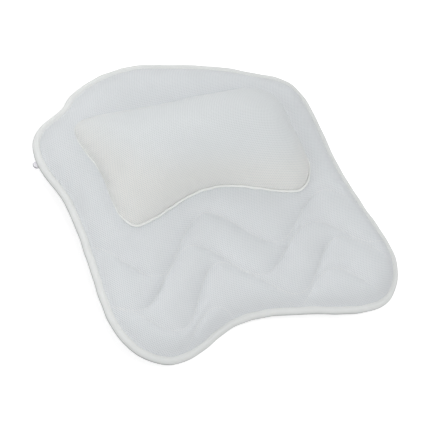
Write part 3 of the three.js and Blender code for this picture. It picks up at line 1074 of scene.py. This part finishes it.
def fold_section(depth):
    """Insets and heights of the folded tape at a depth in it, from its upper edge to its lower."""
    roll = TAPE_ROLL - depth
    half = TAPE_HALF_HEIGHT - depth
    angles = np.radians(np.linspace(90, -90, FOLD_STEPS))
    curve = [(TAPE_ROLL - roll * math.cos(a), half * math.sin(a)) for a in angles]
    lip = [(TAPE_WIDTH, half - LIP_DROP), (TAPE_WIDTH - LIP_STEP, half - LIP_STEP_DROP)]
    return [*lip, *curve, *[(inset, -z) for inset, z in reversed(lip)]]


def sewn_loop(section, loop, heave, sway):
    """Closed band: a ring of (inset, height) carried along a loop. Returns points and faces."""
    size = len(section)
    steps = len(loop)
    points = np.zeros((steps, size, 3))
    for j, (inset, z) in enumerate(section):
        points[:, j, :2] = step_in(loop, inset + sway)
        points[:, j, 2] = z + heave
    faces = []
    for i in range(steps):
        n = (i + 1) % steps
        for j in range(size):
            m = (j + 1) % size
            faces.append((i * size + j, n * size + j, n * size + m, i * size + m))
    return points.reshape(-1, 3), faces


fine_rim = whole_outline(MAT_RIGHT, MAT_LEFT, FINE_PITCH)
outer = fold_section(0)
inner = fold_section(TAPE_THICKNESS)
section = [(inset, z + TAPE_MIDDLE_Z) for inset, z in [*outer, *reversed(inner)]]
heave = ripple(fine_rim, HEAVE_WAVES)
sway = ripple(fine_rim, SWAY_WAVES)
tape_points, tape_faces = sewn_loop(section, fine_rim, heave, sway)

# %% [markdown]
# ## Tape finish
# The tape is a ribbed knit: fine cords run across it, and a fainter twill crosses them.
# Two sines of the place on the cloth draw both, so no picture of a weave is needed, and their lighter crests
# and darker grooves are painted shade.

# %% Ribbed knit
RIB_PITCH = 1.1 * MM
TWILL_PITCH = 0.8 * MM


def ribbed_tape(name, high, low, line=None):
    """Knitted tape with ribs square to its length.
    A line of painted shade (colour, place across, half width) runs along it."""
    material, wire, shader = new_material(
        name, Specular_IOR_Level=0.3, Sheen_Weight=0.15, Sheen_Roughness=0.4
    )
    along, across = cloth_place(wire)
    rib = (along * (2 * math.pi / RIB_PITCH)).sine() * 0.5 + 0.5
    twill = (across * (2 * math.pi / TWILL_PITCH) + along * (math.pi / RIB_PITCH)).sine() * 0.5 + 0.5
    cloud = clouds(wire, scale=22.0, detail=3.0)
    # Painted shade: crests of cords and twill lighter, grooves darker; the clouds vary the tone at random
    tone = (rib * 0.55 + twill * 0.2 + cloud * 0.35).soft_step(0.1, 0.9)
    colour = tinted(wire, tone, low, high)
    if line:
        shade_grey, middle, half = line
        # Painted shade: the grey line darkens the tape where its edge turns under
        colour = tinted(wire, abs(across - middle).soft_step(half / 3, half), shade_grey, colour)
    wire.feed(shader, {
        "Base Color": colour,
        "Roughness": 0.86 - rib * 0.14,
        "Normal": relief(wire, rib * 0.7 + twill * 0.3, strength=0.4, depth=0.25 * MM),
    })
    return material


print("tape ribs to a centimetre:", round(10 * MM / RIB_PITCH))

# %% [markdown]
# ## Binding on the mat
# The tape's cloth map counts metres along the rim and across the tape.
# The cords then stay square to the edge in every bend.
# A thin grey line of painted shade runs along the fold, just under the rim's widest place, where the edge
# turns under into shade.

# %% Binding on the mat
# Painted shade under the rim: its grey, its drop below the fold's middle and its half width
RIM_SHADE_DROP = 0.9 * MM
RIM_SHADE_HALF = 2.2 * MM
TAPE_HIGH = linear(228, 230, 229)
TAPE_LOW = linear(215, 217, 216)
RIM_SHADE_GREY = linear(190, 193, 192)


def lay_along(mesh, girth, wraps):
    """UV map named cloth on a sewn loop: metres along it and round its section, which may wrap."""
    layer = mesh.uv_layers.new(name="cloth")
    size = len(girth) - 1 if wraps else len(girth)
    steps = len(mesh.vertices) // size
    for polygon in mesh.polygons:
        rows = [v // size for v in polygon.vertices]
        turns = [v % size for v in polygon.vertices]
        last_row = max(rows) - min(rows) > 1
        last_turn = wraps and max(turns) - min(turns) > 1
        for corner, row, turn_at in zip(polygon.loop_indices, rows, turns):
            row += steps if last_row and row == 0 else 0
            turn_at += size if last_turn and turn_at == 0 else 0
            layer.data[corner].uv = (row * FINE_PITCH, girth[turn_at])


girth = np.concatenate([[0], np.cumsum([math.dist(a, b) for a, b in zip(section, section[1:])])])
fold_width = float(girth[len(outer) - 1])
painted_rim_shade = (RIM_SHADE_GREY, fold_width / 2 + RIM_SHADE_DROP, RIM_SHADE_HALF)
tape_knit = ribbed_tape("tape_knit", TAPE_HIGH, TAPE_LOW, painted_rim_shade)
tape_mesh = creased(mesh_of("edge_binding", tape_points, tape_faces))
lay_along(tape_mesh, girth, False)
binding = finished("edge_binding_tape", tape_mesh, "pillow", "binding_tape", tape_knit, "edge_binding")

# %% [markdown]
# ## Piping on the head seam
# Where the pillow is sewn to the mat, a thin covered cord fills the seam and catches the light.
# It could be a curve with a round bevel, but the cord isn't equally proud all round.
# It is full along the front, where the seam opens, and sinks into the seam at the ends and the far side.
# So a ring of circles with a radius of their own is carried along the seam, in the tape's ribbed knit but a
# lighter white, which is a painted highlight.

# %% Piping
PIPING_RADIUS = 1.5 * MM
PIPING_SLACK = 0.2
PIPING_FULL_FACING = 0.7
PIPING_Z = 36.0 * MM
PIPING_OUTSET = 1.0 * MM
PIPING_SIDES = 14
QUIVER_WAVES = [(29, 0.15 * MM, 0.7), (41, 0.1 * MM, 2.2)]
fine_head = whole_outline(HEAD_RIGHT, HEAD_LEFT, FINE_PITCH)
head_length = len(fine_head) * FINE_PITCH
facing_front = (step_in(fine_head, 1 * MM) - fine_head)[:, 1] / MM
fullness = PIPING_SLACK + (1 - PIPING_SLACK) * np.clip(facing_front / PIPING_FULL_FACING, 0, 1)
swell = PIPING_RADIUS * fullness
piping_foot = PIPING_Z - PIPING_RADIUS
round_section = [
    (swell * math.sin(a) - PIPING_OUTSET * fullness, piping_foot + swell * (1 + math.cos(a)))
    for a in np.linspace(0, -2 * math.pi, PIPING_SIDES, endpoint=False)
]
quiver = ripple(fine_head, QUIVER_WAVES)
piping_mesh = mesh_of("head_pillow_piping", *sewn_loop(round_section, fine_head, quiver * 0.5, quiver))
lay_along(piping_mesh, np.linspace(0, 2 * math.pi * PIPING_RADIUS, PIPING_SIDES + 1), True)
# Painted highlight: the piping's knit is whiter than the tape's, so the cord reads as a bright line
piping_knit = ribbed_tape("piping_knit", linear(232, 234, 232), linear(224, 226, 224))
finished("head_seam_piping", piping_mesh, "pillow", "binding_tape", piping_knit, "head_pillow_piping")
print("piping length in mm:", round(head_length / MM))

# %% [markdown]
# ## Back panel
# The back is one flat layer of the same mesh, held taut by the binding, with a hole for each grommet.
# It is cut with the holes among its edges and given its thickness by a Solidify modifier.

# %% Rear panel
REAR_MIDDLE_Z = 15.1 * MM
REAR_THICKNESS = 2.2 * MM
REAR_PITCH = 9 * MM
BARREL_HOLE = 6.6 * MM
HOLE_SIDES = 40
HOLE_SHARE = 0.96


def sheet_with_holes(name, loop, holes, pitch, thickness, middle_z):
    """Flat sheet with round holes, solidified about its middle height. Returns its mesh and flat area."""
    rings = [(circle(place, radius, HOLE_SIDES), True) for place, radius in holes]
    points, triangles, _ = cut_panel(loop, rings, pitch)
    middles = points[np.array(triangles)].mean(axis=1)
    kept = np.ones(len(triangles), bool)
    for place, radius in holes:
        kept &= np.linalg.norm(middles - place, axis=1) > radius * HOLE_SHARE
    cut = [t for t, keep in zip(triangles, kept) if keep]
    used = sorted({i for t in cut for i in t})
    order = {old: new for new, old in enumerate(used)}
    faces = [tuple(order[i] for i in t) for t in cut]
    flat_points = np.column_stack([points[used], np.full(len(used), middle_z)])
    holder = held(mesh_of(name, flat_points, faces))
    wall = holder.modifiers.new("thickness", "SOLIDIFY")
    wall.thickness = thickness
    wall.offset = 0
    mesh = creased(released(holder))
    lay_cloth(mesh, vertices_of(mesh)[:, :2])
    return mesh, area_of(flat_points, faces)


rear_loop = step_in(rim, HEM_REACH)
rear_holes = [(place, BARREL_HOLE) for place in cup_places]
rear_mesh, rear_area = sheet_with_holes(
    "rear_panel", rear_loop, rear_holes, REAR_PITCH, REAR_THICKNESS, REAR_MIDDLE_Z
)
rear_panel = finished("back_panel", rear_mesh, "pillow", "mesh_fabric", mat_mesh, "rear_panel")
print("back panel area in square mm:", round(rear_area / MM**2))

# %% [markdown]
# ## Turned pieces
# Cups, grommets and washers are round, so each is a profile turned about its stud.
# The profile lists radius and height, and enough steps make the moulded curves smooth.

# %% Turning a profile
ON_AXIS = 1e-7
CORNER_SHARE = 2.2


def turned(profile, sides=72):
    """Closed mesh of a profile turned about Z. Points on the axis become a single pole."""
    made = bmesh.new()
    rings = []
    angles = [2 * math.pi * i / sides for i in range(sides)]
    for radius, z in profile:
        if radius < ON_AXIS:
            rings.append([made.verts.new((0, 0, z))] * sides)
            continue
        rings.append([made.verts.new((radius * math.cos(a), radius * math.sin(a), z)) for a in angles])
    pairs = list(zip(rings, rings[1:]))
    if profile[0][0] > ON_AXIS and profile[-1][0] > ON_AXIS:
        pairs.append((rings[-1], rings[0]))
    for low, high in pairs:
        for i in range(sides):
            n = (i + 1) % sides
            corners = list(dict.fromkeys((low[i], low[n], high[n], high[i])))
            if len(corners) > 2:
                made.faces.new(corners)
    bmesh.ops.recalc_face_normals(made, faces=made.faces[:])
    mesh = bpy.data.meshes.new("turned")
    made.to_mesh(mesh)
    made.free()
    return creased(mesh)


def eased(profile, radius, steps=4):
    """Closed profile with each corner rounded by a small radius."""
    points = [np.array(p, float) for p in profile]
    smooth = []
    for before, here, after in zip(points[-1:] + points[:-1], points, points[1:] + points[:1]):
        back = before - here
        ahead = after - here
        reach = min(radius, np.linalg.norm(back) / CORNER_SHARE, np.linalg.norm(ahead) / CORNER_SHARE)
        start = here + back / np.linalg.norm(back) * reach
        end = here + ahead / np.linalg.norm(ahead) * reach
        for t in np.linspace(0, 1, steps):
            smooth.append((1 - t) ** 2 * start + 2 * t * (1 - t) * here + t**2 * end)
    return [tuple(p) for p in smooth]


print("turning ready")

# %% [markdown]
# ## Suction cups
# Each cup is one moulding: a thin bell with a flat lip, a stud with a mushroom head and a release tab.
# The head is pushed through the grommet from outside, so the cup turns freely but can't fall out.
# Bell and stud are one closed profile, from the middle of the hollow to the top of the head.

# %% Cup profile
CUP_RADIUS = 27 * MM
CUP_LIP = 3 * MM
CUP_HEIGHT = 11 * MM
CUP_ROOF = 7.4 * MM
BELL_FULLNESS = 2.4
CUP_SHOULDER = 8.5 * MM
LIP_EASE = 0.35 * MM
LIP_LOW_Z = 0.3 * MM
LIP_HIGH_Z = 0.75 * MM
LIP_BACK_Z = 0.95 * MM
LIP_BACK_SHARE = 0.985
STUD_RADIUS = 4 * MM
STUD_FILLET = 1.2 * MM
STUD_HEAD_RADIUS = 7 * MM
STUD_HEAD_Z = 19.1 * MM
STUD_HEAD_EDGE = 1.0 * MM
STUD_TOP_Z = 23.7 * MM
HOLLOW_STEPS = 15
BACK_STEPS = 14
CROWN_STEPS = 9


def cup_profile():
    """Radii and heights of the bell and its stud, from the middle of the hollow to the top of the head."""
    lip_inner = CUP_RADIUS - CUP_LIP
    hollow = [(lip_inner * t, CUP_ROOF * (1 - t**BELL_FULLNESS)) for t in np.linspace(0, 1, HOLLOW_STEPS)]
    lip = [(CUP_RADIUS - LIP_EASE, 0), (CUP_RADIUS, LIP_LOW_Z), (CUP_RADIUS, LIP_HIGH_Z)]
    back = [
        (CUP_SHOULDER + (CUP_RADIUS - CUP_SHOULDER) * t, CUP_HEIGHT + (LIP_BACK_Z - CUP_HEIGHT) * t * t)
        for t in np.linspace(LIP_BACK_SHARE, 0, BACK_STEPS)
    ]
    fillet = [(STUD_RADIUS + STUD_FILLET, CUP_HEIGHT), (STUD_RADIUS + 0.1 * MM, CUP_HEIGHT + 0.2 * MM)]
    neck = [(STUD_RADIUS, CUP_HEIGHT + STUD_FILLET / 2), (STUD_RADIUS, STUD_HEAD_Z - 0.1 * MM)]
    under = [
        (STUD_HEAD_RADIUS - 0.4 * MM, STUD_HEAD_Z),
        (STUD_HEAD_RADIUS, STUD_HEAD_Z + STUD_HEAD_EDGE / 2),
    ]
    crown_z = STUD_HEAD_Z + STUD_HEAD_EDGE
    rise = STUD_TOP_Z - STUD_HEAD_Z - STUD_HEAD_EDGE
    crown_angles = np.radians(np.linspace(0, 90, CROWN_STEPS)[:-1])
    head = [(STUD_HEAD_RADIUS * math.cos(a), crown_z + rise * math.sin(a)) for a in crown_angles]
    return [*hollow, *lip, *back, *fillet, *neck, *under, *head, (0, STUD_TOP_Z)]


bell_mesh = turned(cup_profile())
print("bell faces:", len(bell_mesh.polygons))

# %% [markdown]
# ## The release tab
# A finger lifts the cup by its tab, a flat tongue with a round end.
# Bell and tab are joined by an exact union, because clear plastic shows every hidden face.

# %% Cup with its tab
TAB_LENGTH = 16 * MM
TAB_WIDTH = 9 * MM
TAB_ROOT = 1.8 * MM
TAB_LOW_Z = 0.6 * MM
TAB_THICKNESS = 1.6 * MM
TAB_EASE = 0.4 * MM
TAB_STEPS = 17


def tab_mesh():
    """Release tab: a flat tongue with a round end and eased edges."""
    made = bmesh.new()
    half = TAB_WIDTH / 2
    start = CUP_RADIUS - TAB_ROOT
    end = CUP_RADIUS + TAB_LENGTH - half
    angles = np.radians(np.linspace(-90, 90, TAB_STEPS))
    arc = [(end + half * math.cos(a), half * math.sin(a)) for a in angles]
    outline = [(start, -half), *arc, (start, half)]
    flat_face = made.faces.new([made.verts.new((x, y, TAB_LOW_Z)) for x, y in outline])
    grown = bmesh.ops.extrude_face_region(made, geom=[flat_face])
    top = [v for v in grown["geom"] if isinstance(v, bmesh.types.BMVert)]
    bmesh.ops.translate(made, verts=top, vec=(0, 0, TAB_THICKNESS))
    bmesh.ops.recalc_face_normals(made, faces=made.faces[:])
    long_edges = [e for e in made.edges if abs(e.verts[0].co.z - e.verts[1].co.z) < 1e-6]
    bmesh.ops.bevel(made, geom=long_edges, offset=TAB_EASE, segments=2, profile=0.5, affect="EDGES")
    mesh = bpy.data.meshes.new("tab")
    made.to_mesh(mesh)
    made.free()
    return mesh


def united(first, second):
    """Exact union of two closed meshes."""
    holder = held(first)
    other = held(second)
    join = holder.modifiers.new("join", "BOOLEAN")
    join.operation = "UNION"
    join.solver = "EXACT"
    join.object = other
    mesh = released(holder)
    bpy.data.objects.remove(other)
    return creased(mesh)


cup_mesh = united(bell_mesh, tab_mesh())
print("cup faces:", len(cup_mesh.polygons))

# %% [markdown]
# ## Vinyl and nylon
# Cups are clear soft vinyl, and grommets and washers are white nylon.
# Neither is perfectly even: vinyl has faint clouds and flow lines, and nylon the fine grain of its mould.
# Noise on the object's own place gives both, in colour, roughness and a shallow bump.


# %% Plastic finishes
def clear_vinyl(name):
    """Clear plastic with the faint clouding and flow lines of a moulding."""
    material, wire, shader = new_material(name, Transmission_Weight=0.85, IOR=1.45, Specular_IOR_Level=0.5)
    cloud = clouds(wire, scale=90.0, detail=4.0)
    wire.feed(shader, {
        "Base Color": tinted(wire, cloud.soft_step(0.3, 0.75), linear(249, 248, 252), linear(241, 240, 246)),
        "Roughness": 0.16 + cloud * 0.12,
        "Normal": relief(wire, cloud, strength=0.12, depth=0.2 * MM),
    })
    return material


def moulded_nylon(name):
    """White nylon with a fine moulded grain."""
    material, wire, shader = new_material(name, Specular_IOR_Level=0.45)
    cloud = clouds(wire, scale=60.0, detail=3.0)
    grain = clouds(wire, scale=900.0, detail=2.0)
    wire.feed(shader, {
        "Base Color": tinted(wire, cloud.soft_step(0.3, 0.7), linear(236, 236, 232), linear(228, 228, 223)),
        "Roughness": 0.34 + cloud * 0.16,
        "Normal": relief(wire, grain, strength=0.15, depth=0.1 * MM),
    })
    return material


vinyl = clear_vinyl("clear_vinyl")
nylon = moulded_nylon("white_nylon")
print("plastics:", vinyl.name, nylon.name)

# %% [markdown]
# ## Grommets, washers and patches
# A fabric patch spreads each cup's pull.
# A nylon grommet goes through patch and back panel, and a washer locks it inside.
# They repeat six times, so one mesh of each is made at the origin and copied to its place.

# %% Six cup stations
# Radius and height in mm
GROMMET_PROFILE = [
    (4.6, 11.3),
    (9.5, 11.3),
    (9.5, 12.3),
    (6.2, 12.3),
    (6.2, 18.0),
    (7.4, 18.0),
    (7.0, 18.8),
    (4.6, 18.8),
]
GROMMET_EASE = 0.35
WASHER_PROFILE = [(6.5, 16.7), (10, 16.7), (10, 17.7), (6.5, 17.7)]
WASHER_EASE = 0.3
PATCH_RADIUS = 22 * MM
PATCH_SIDES = 96
PATCH_PITCH = 2.4 * MM
PATCH_MIDDLE_Z = 13.1 * MM
PATCH_THICKNESS = 0.9 * MM


def placed(mesh, place, turn_by=0.0):
    """Copy of a mesh at a cup's place."""
    copy = mesh.copy()
    copy.transform(Matrix.Translation((*place, 0)) @ Matrix.Rotation(turn_by, 4, "Z"))
    return copy


grommet_mesh = turned([(r * MM, z * MM) for r, z in eased(GROMMET_PROFILE, GROMMET_EASE)])
washer_mesh = turned([(r * MM, z * MM) for r, z in eased(WASHER_PROFILE, WASHER_EASE)])
origin = np.zeros(2)
patch_mesh, patch_area = sheet_with_holes(
    "patch",
    circle(origin, PATCH_RADIUS, PATCH_SIDES),
    [(origin, BARREL_HOLE)],
    PATCH_PITCH,
    PATCH_THICKNESS,
    PATCH_MIDDLE_Z,
)
patch_knit = ribbed_tape("patch_knit", TAPE_HIGH, TAPE_LOW)
patches = []
for number, place in enumerate(cup_places, 1):
    outward = math.pi if place[0] < 0 else 0.0
    cup = placed(cup_mesh, place, outward)
    finished(f"cup_{number}_vinyl", cup, f"cup_{number}", "clear_vinyl", vinyl, f"suction_cup_{number}")
    ring = placed(grommet_mesh, place)
    finished(f"grommet_{number}", ring, "pillow", "white_nylon", nylon, f"cup_grommet_{number}")
    lock = placed(washer_mesh, place)
    finished(f"washer_{number}", lock, "pillow", "white_nylon", nylon, f"grommet_washer_{number}")
    cloth = placed(patch_mesh, place)
    patch = finished(f"patch_{number}", cloth, "pillow", "binding_tape", patch_knit, f"cup_patch_{number}")
    patches.append(patch)
print("cups placed:", len(patches))

# %% [markdown]
# ## Sewing
# Thread shows along the waves, on both faces of the binding and round each patch.
# Hundreds of stitches follow lines, which is work for Geometry Nodes.
# The tree resamples a line at the stitch pitch.
# At each point it lays one slim stitch along the line, facing off the cloth.

# %% Stitch tree
BEAD_SEGMENTS = 6
BEAD_RINGS = 5
BEAD_FLATNESS = 0.8


def stitch_tree():
    """Geometry Nodes group: lines in, stitches out. Returns it with its inputs' identifiers."""
    tree = bpy.data.node_groups.new("stitch_line", "GeometryNodeTree")
    inputs = {}
    for name, kind in (
        ("Lines", "NodeSocketGeometry"),
        ("Pitch", "NodeSocketFloat"),
        ("Stitch length", "NodeSocketFloat"),
        ("Thread width", "NodeSocketFloat"),
        ("Thread", "NodeSocketMaterial"),
    ):
        inputs[name] = tree.interface.new_socket(name, in_out="INPUT", socket_type=kind)
    tree.interface.new_socket("Stitches", in_out="OUTPUT", socket_type="NodeSocketGeometry")
    wire = Wire(tree)
    lines = wire.node("NodeGroupInput")
    want = {name: lines.beside(name) for name in inputs}
    curve = wire.node("GeometryNodeMeshToCurve", None, {"Mesh": want["Lines"]})
    spaced = {"Curve": curve, "Length": want["Pitch"]}
    dots = wire.node("GeometryNodeResampleCurve", {"mode": "LENGTH"}, spaced)
    named = {"data_type": "FLOAT_VECTOR"}
    off_cloth = wire.node("GeometryNodeInputNamedAttribute", named, {"Name": "off_cloth"})
    along = wire.node("GeometryNodeInputTangent")
    facing = wire.node("FunctionNodeAlignRotationToVector", {"axis": "Z"}, {"Vector": off_cloth})
    lying = wire.node(
        "FunctionNodeAlignRotationToVector",
        {"axis": "X", "pivot_axis": "Z"},
        {"Rotation": facing, "Vector": along},
    )
    shape = {"Segments": BEAD_SEGMENTS, "Rings": BEAD_RINGS, "Radius": 0.5}
    bead = wire.node("GeometryNodeMeshUVSphere", None, shape)
    width = want["Thread width"]
    sizes = {"X": want["Stitch length"], "Y": width, "Z": width * BEAD_FLATNESS}
    scale = wire.node("ShaderNodeCombineXYZ", None, sizes)
    row = wire.node(
        "GeometryNodeInstanceOnPoints",
        None,
        {"Points": dots, "Instance": bead, "Rotation": lying, "Scale": scale},
    )
    real = wire.node("GeometryNodeRealizeInstances", None, {"Geometry": row})
    soft = wire.node("GeometryNodeSetShadeSmooth", None, {"Geometry": real})
    thread = wire.node("GeometryNodeSetMaterial", None, {"Geometry": soft, "Material": want["Thread"]})
    wire.node("NodeGroupOutput", None, {"Stitches": thread})
    return tree, {name: socket.identifier for name, socket in inputs.items()}


sewing, sewing_inputs = stitch_tree()
print("stitch inputs:", list(sewing_inputs))

# %% [markdown]
# ## Thread
# Sewing thread is twisted from plies, which show as slanted bands of light and shade.
# A stitch is too small to carry a map, so the bands come from its place on the object.

# %% Thread finish
PLY_PITCH = 0.5 * MM


def thread_finish(name):
    """Twisted sewing thread."""
    material, wire, shader = new_material(name, Specular_IOR_Level=0.4, Sheen_Weight=0.2)
    x = wire.node("ShaderNodeSeparateXYZ", None, {0: object_place(wire)})
    ply = ((x + x.beside(1)) * (2 * math.pi / PLY_PITCH)).sine() * 0.5 + 0.5
    wire.feed(shader, {
        "Base Color": tinted(wire, ply, linear(220, 220, 217), linear(238, 238, 236)),
        "Roughness": 0.5 + ply * 0.2,
    })
    return material


thread_white = thread_finish("thread_white")
print("thread:", thread_white.name)

# %% [markdown]
# ## Laying and sewing a row
# A row is given in plan and dropped onto the cloth with rays, so it lies in its groove or on its tape.
# The ray also gives the cloth's direction there, and the stitches face that way.

# %% Helpers for sewing
RAY_START = 0.3


def dropped(lines, piece, from_below=False, sink=0.0):
    """Lines in plan laid on a piece: for each line, its places and the directions off the cloth."""
    surface = BVHTree.FromObject(piece, bpy.context.evaluated_depsgraph_get())
    way = Vector((0, 0, 1 if from_below else -1))
    laid = []
    for line in lines:
        row = []
        for x, y in line:
            place, normal, _, _ = surface.ray_cast(Vector((x, y, 0)) - way * RAY_START, way)
            row.append((place - normal * sink, normal))
        laid.append(row)
    return laid


def sew(name, rows, closed, stitch):
    """Stitches along laid rows, as one plain mesh on the pillow."""
    places = [place for row in rows for place, _ in row]
    facing = [axis for row in rows for _, axis in row]
    edges = []
    first = 0
    for row in rows:
        count = len(row)
        edges += [(first + i, first + (i + 1) % count) for i in range(count if closed else count - 1)]
        first += count
    lines = bpy.data.meshes.new("lines")
    lines.from_pydata(places, edges, [])
    axis = lines.attributes.new("off_cloth", "FLOAT_VECTOR", "POINT")
    axis.data.foreach_set("vector", np.array(facing, np.float32).ravel())
    holder = held(lines)
    needle = holder.modifiers.new("needle", "NODES")
    needle.node_group = sewing
    for socket, value in zip(("Pitch", "Stitch length", "Thread width"), stitch):
        needle[sewing_inputs[socket]] = value
    needle[sewing_inputs["Thread"]] = thread_white
    mesh = released(holder)
    if "off_cloth" in mesh.attributes:
        mesh.attributes.remove(mesh.attributes["off_cloth"])
    finished(name, mesh, "pillow", "binding_tape", thread_white)
    print(name, "faces:", len(mesh.polygons))


print("sewing helpers ready")

# %% [markdown]
# ## Rows of stitches
# The waves are sewn with fine stitches that sink into their grooves.
# The binding has a row of longer stitches that shows on both of its faces.
# Each patch has a ring of stitches near its edge.

# %% Sew the rows
QUILTING_SINK = 0.05 * MM
TAPE_STITCH_INSET = 6.8 * MM
PATCH_STITCH_INSET = 2.5 * MM
PATCH_ROW_POINTS = 90
# Pitch, stitch length and thread width
QUILTING = (3.6 * MM, 3.0 * MM, 0.55 * MM)
BINDING = (4.0 * MM, 3.3 * MM, 0.6 * MM)
PATCHING = (3.4 * MM, 2.8 * MM, 0.5 * MM)
tape_row = [step_in(fine_rim, TAPE_STITCH_INSET)]
patch_row_radius = PATCH_RADIUS - PATCH_STITCH_INSET
patch_rows = [circle(place, patch_row_radius, PATCH_ROW_POINTS) for place in cup_places]
patch_laid = [dropped([row], patch, True)[0] for row, patch in zip(patch_rows, patches)]
sew("quilting_stitches", dropped(waves, mat_pad, sink=QUILTING_SINK), False, QUILTING)
sew("binding_stitches_front", dropped(tape_row, binding), True, BINDING)
sew("binding_stitches_back", dropped(tape_row, binding, True), True, BINDING)
sew("patch_stitches", patch_laid, True, PATCHING)
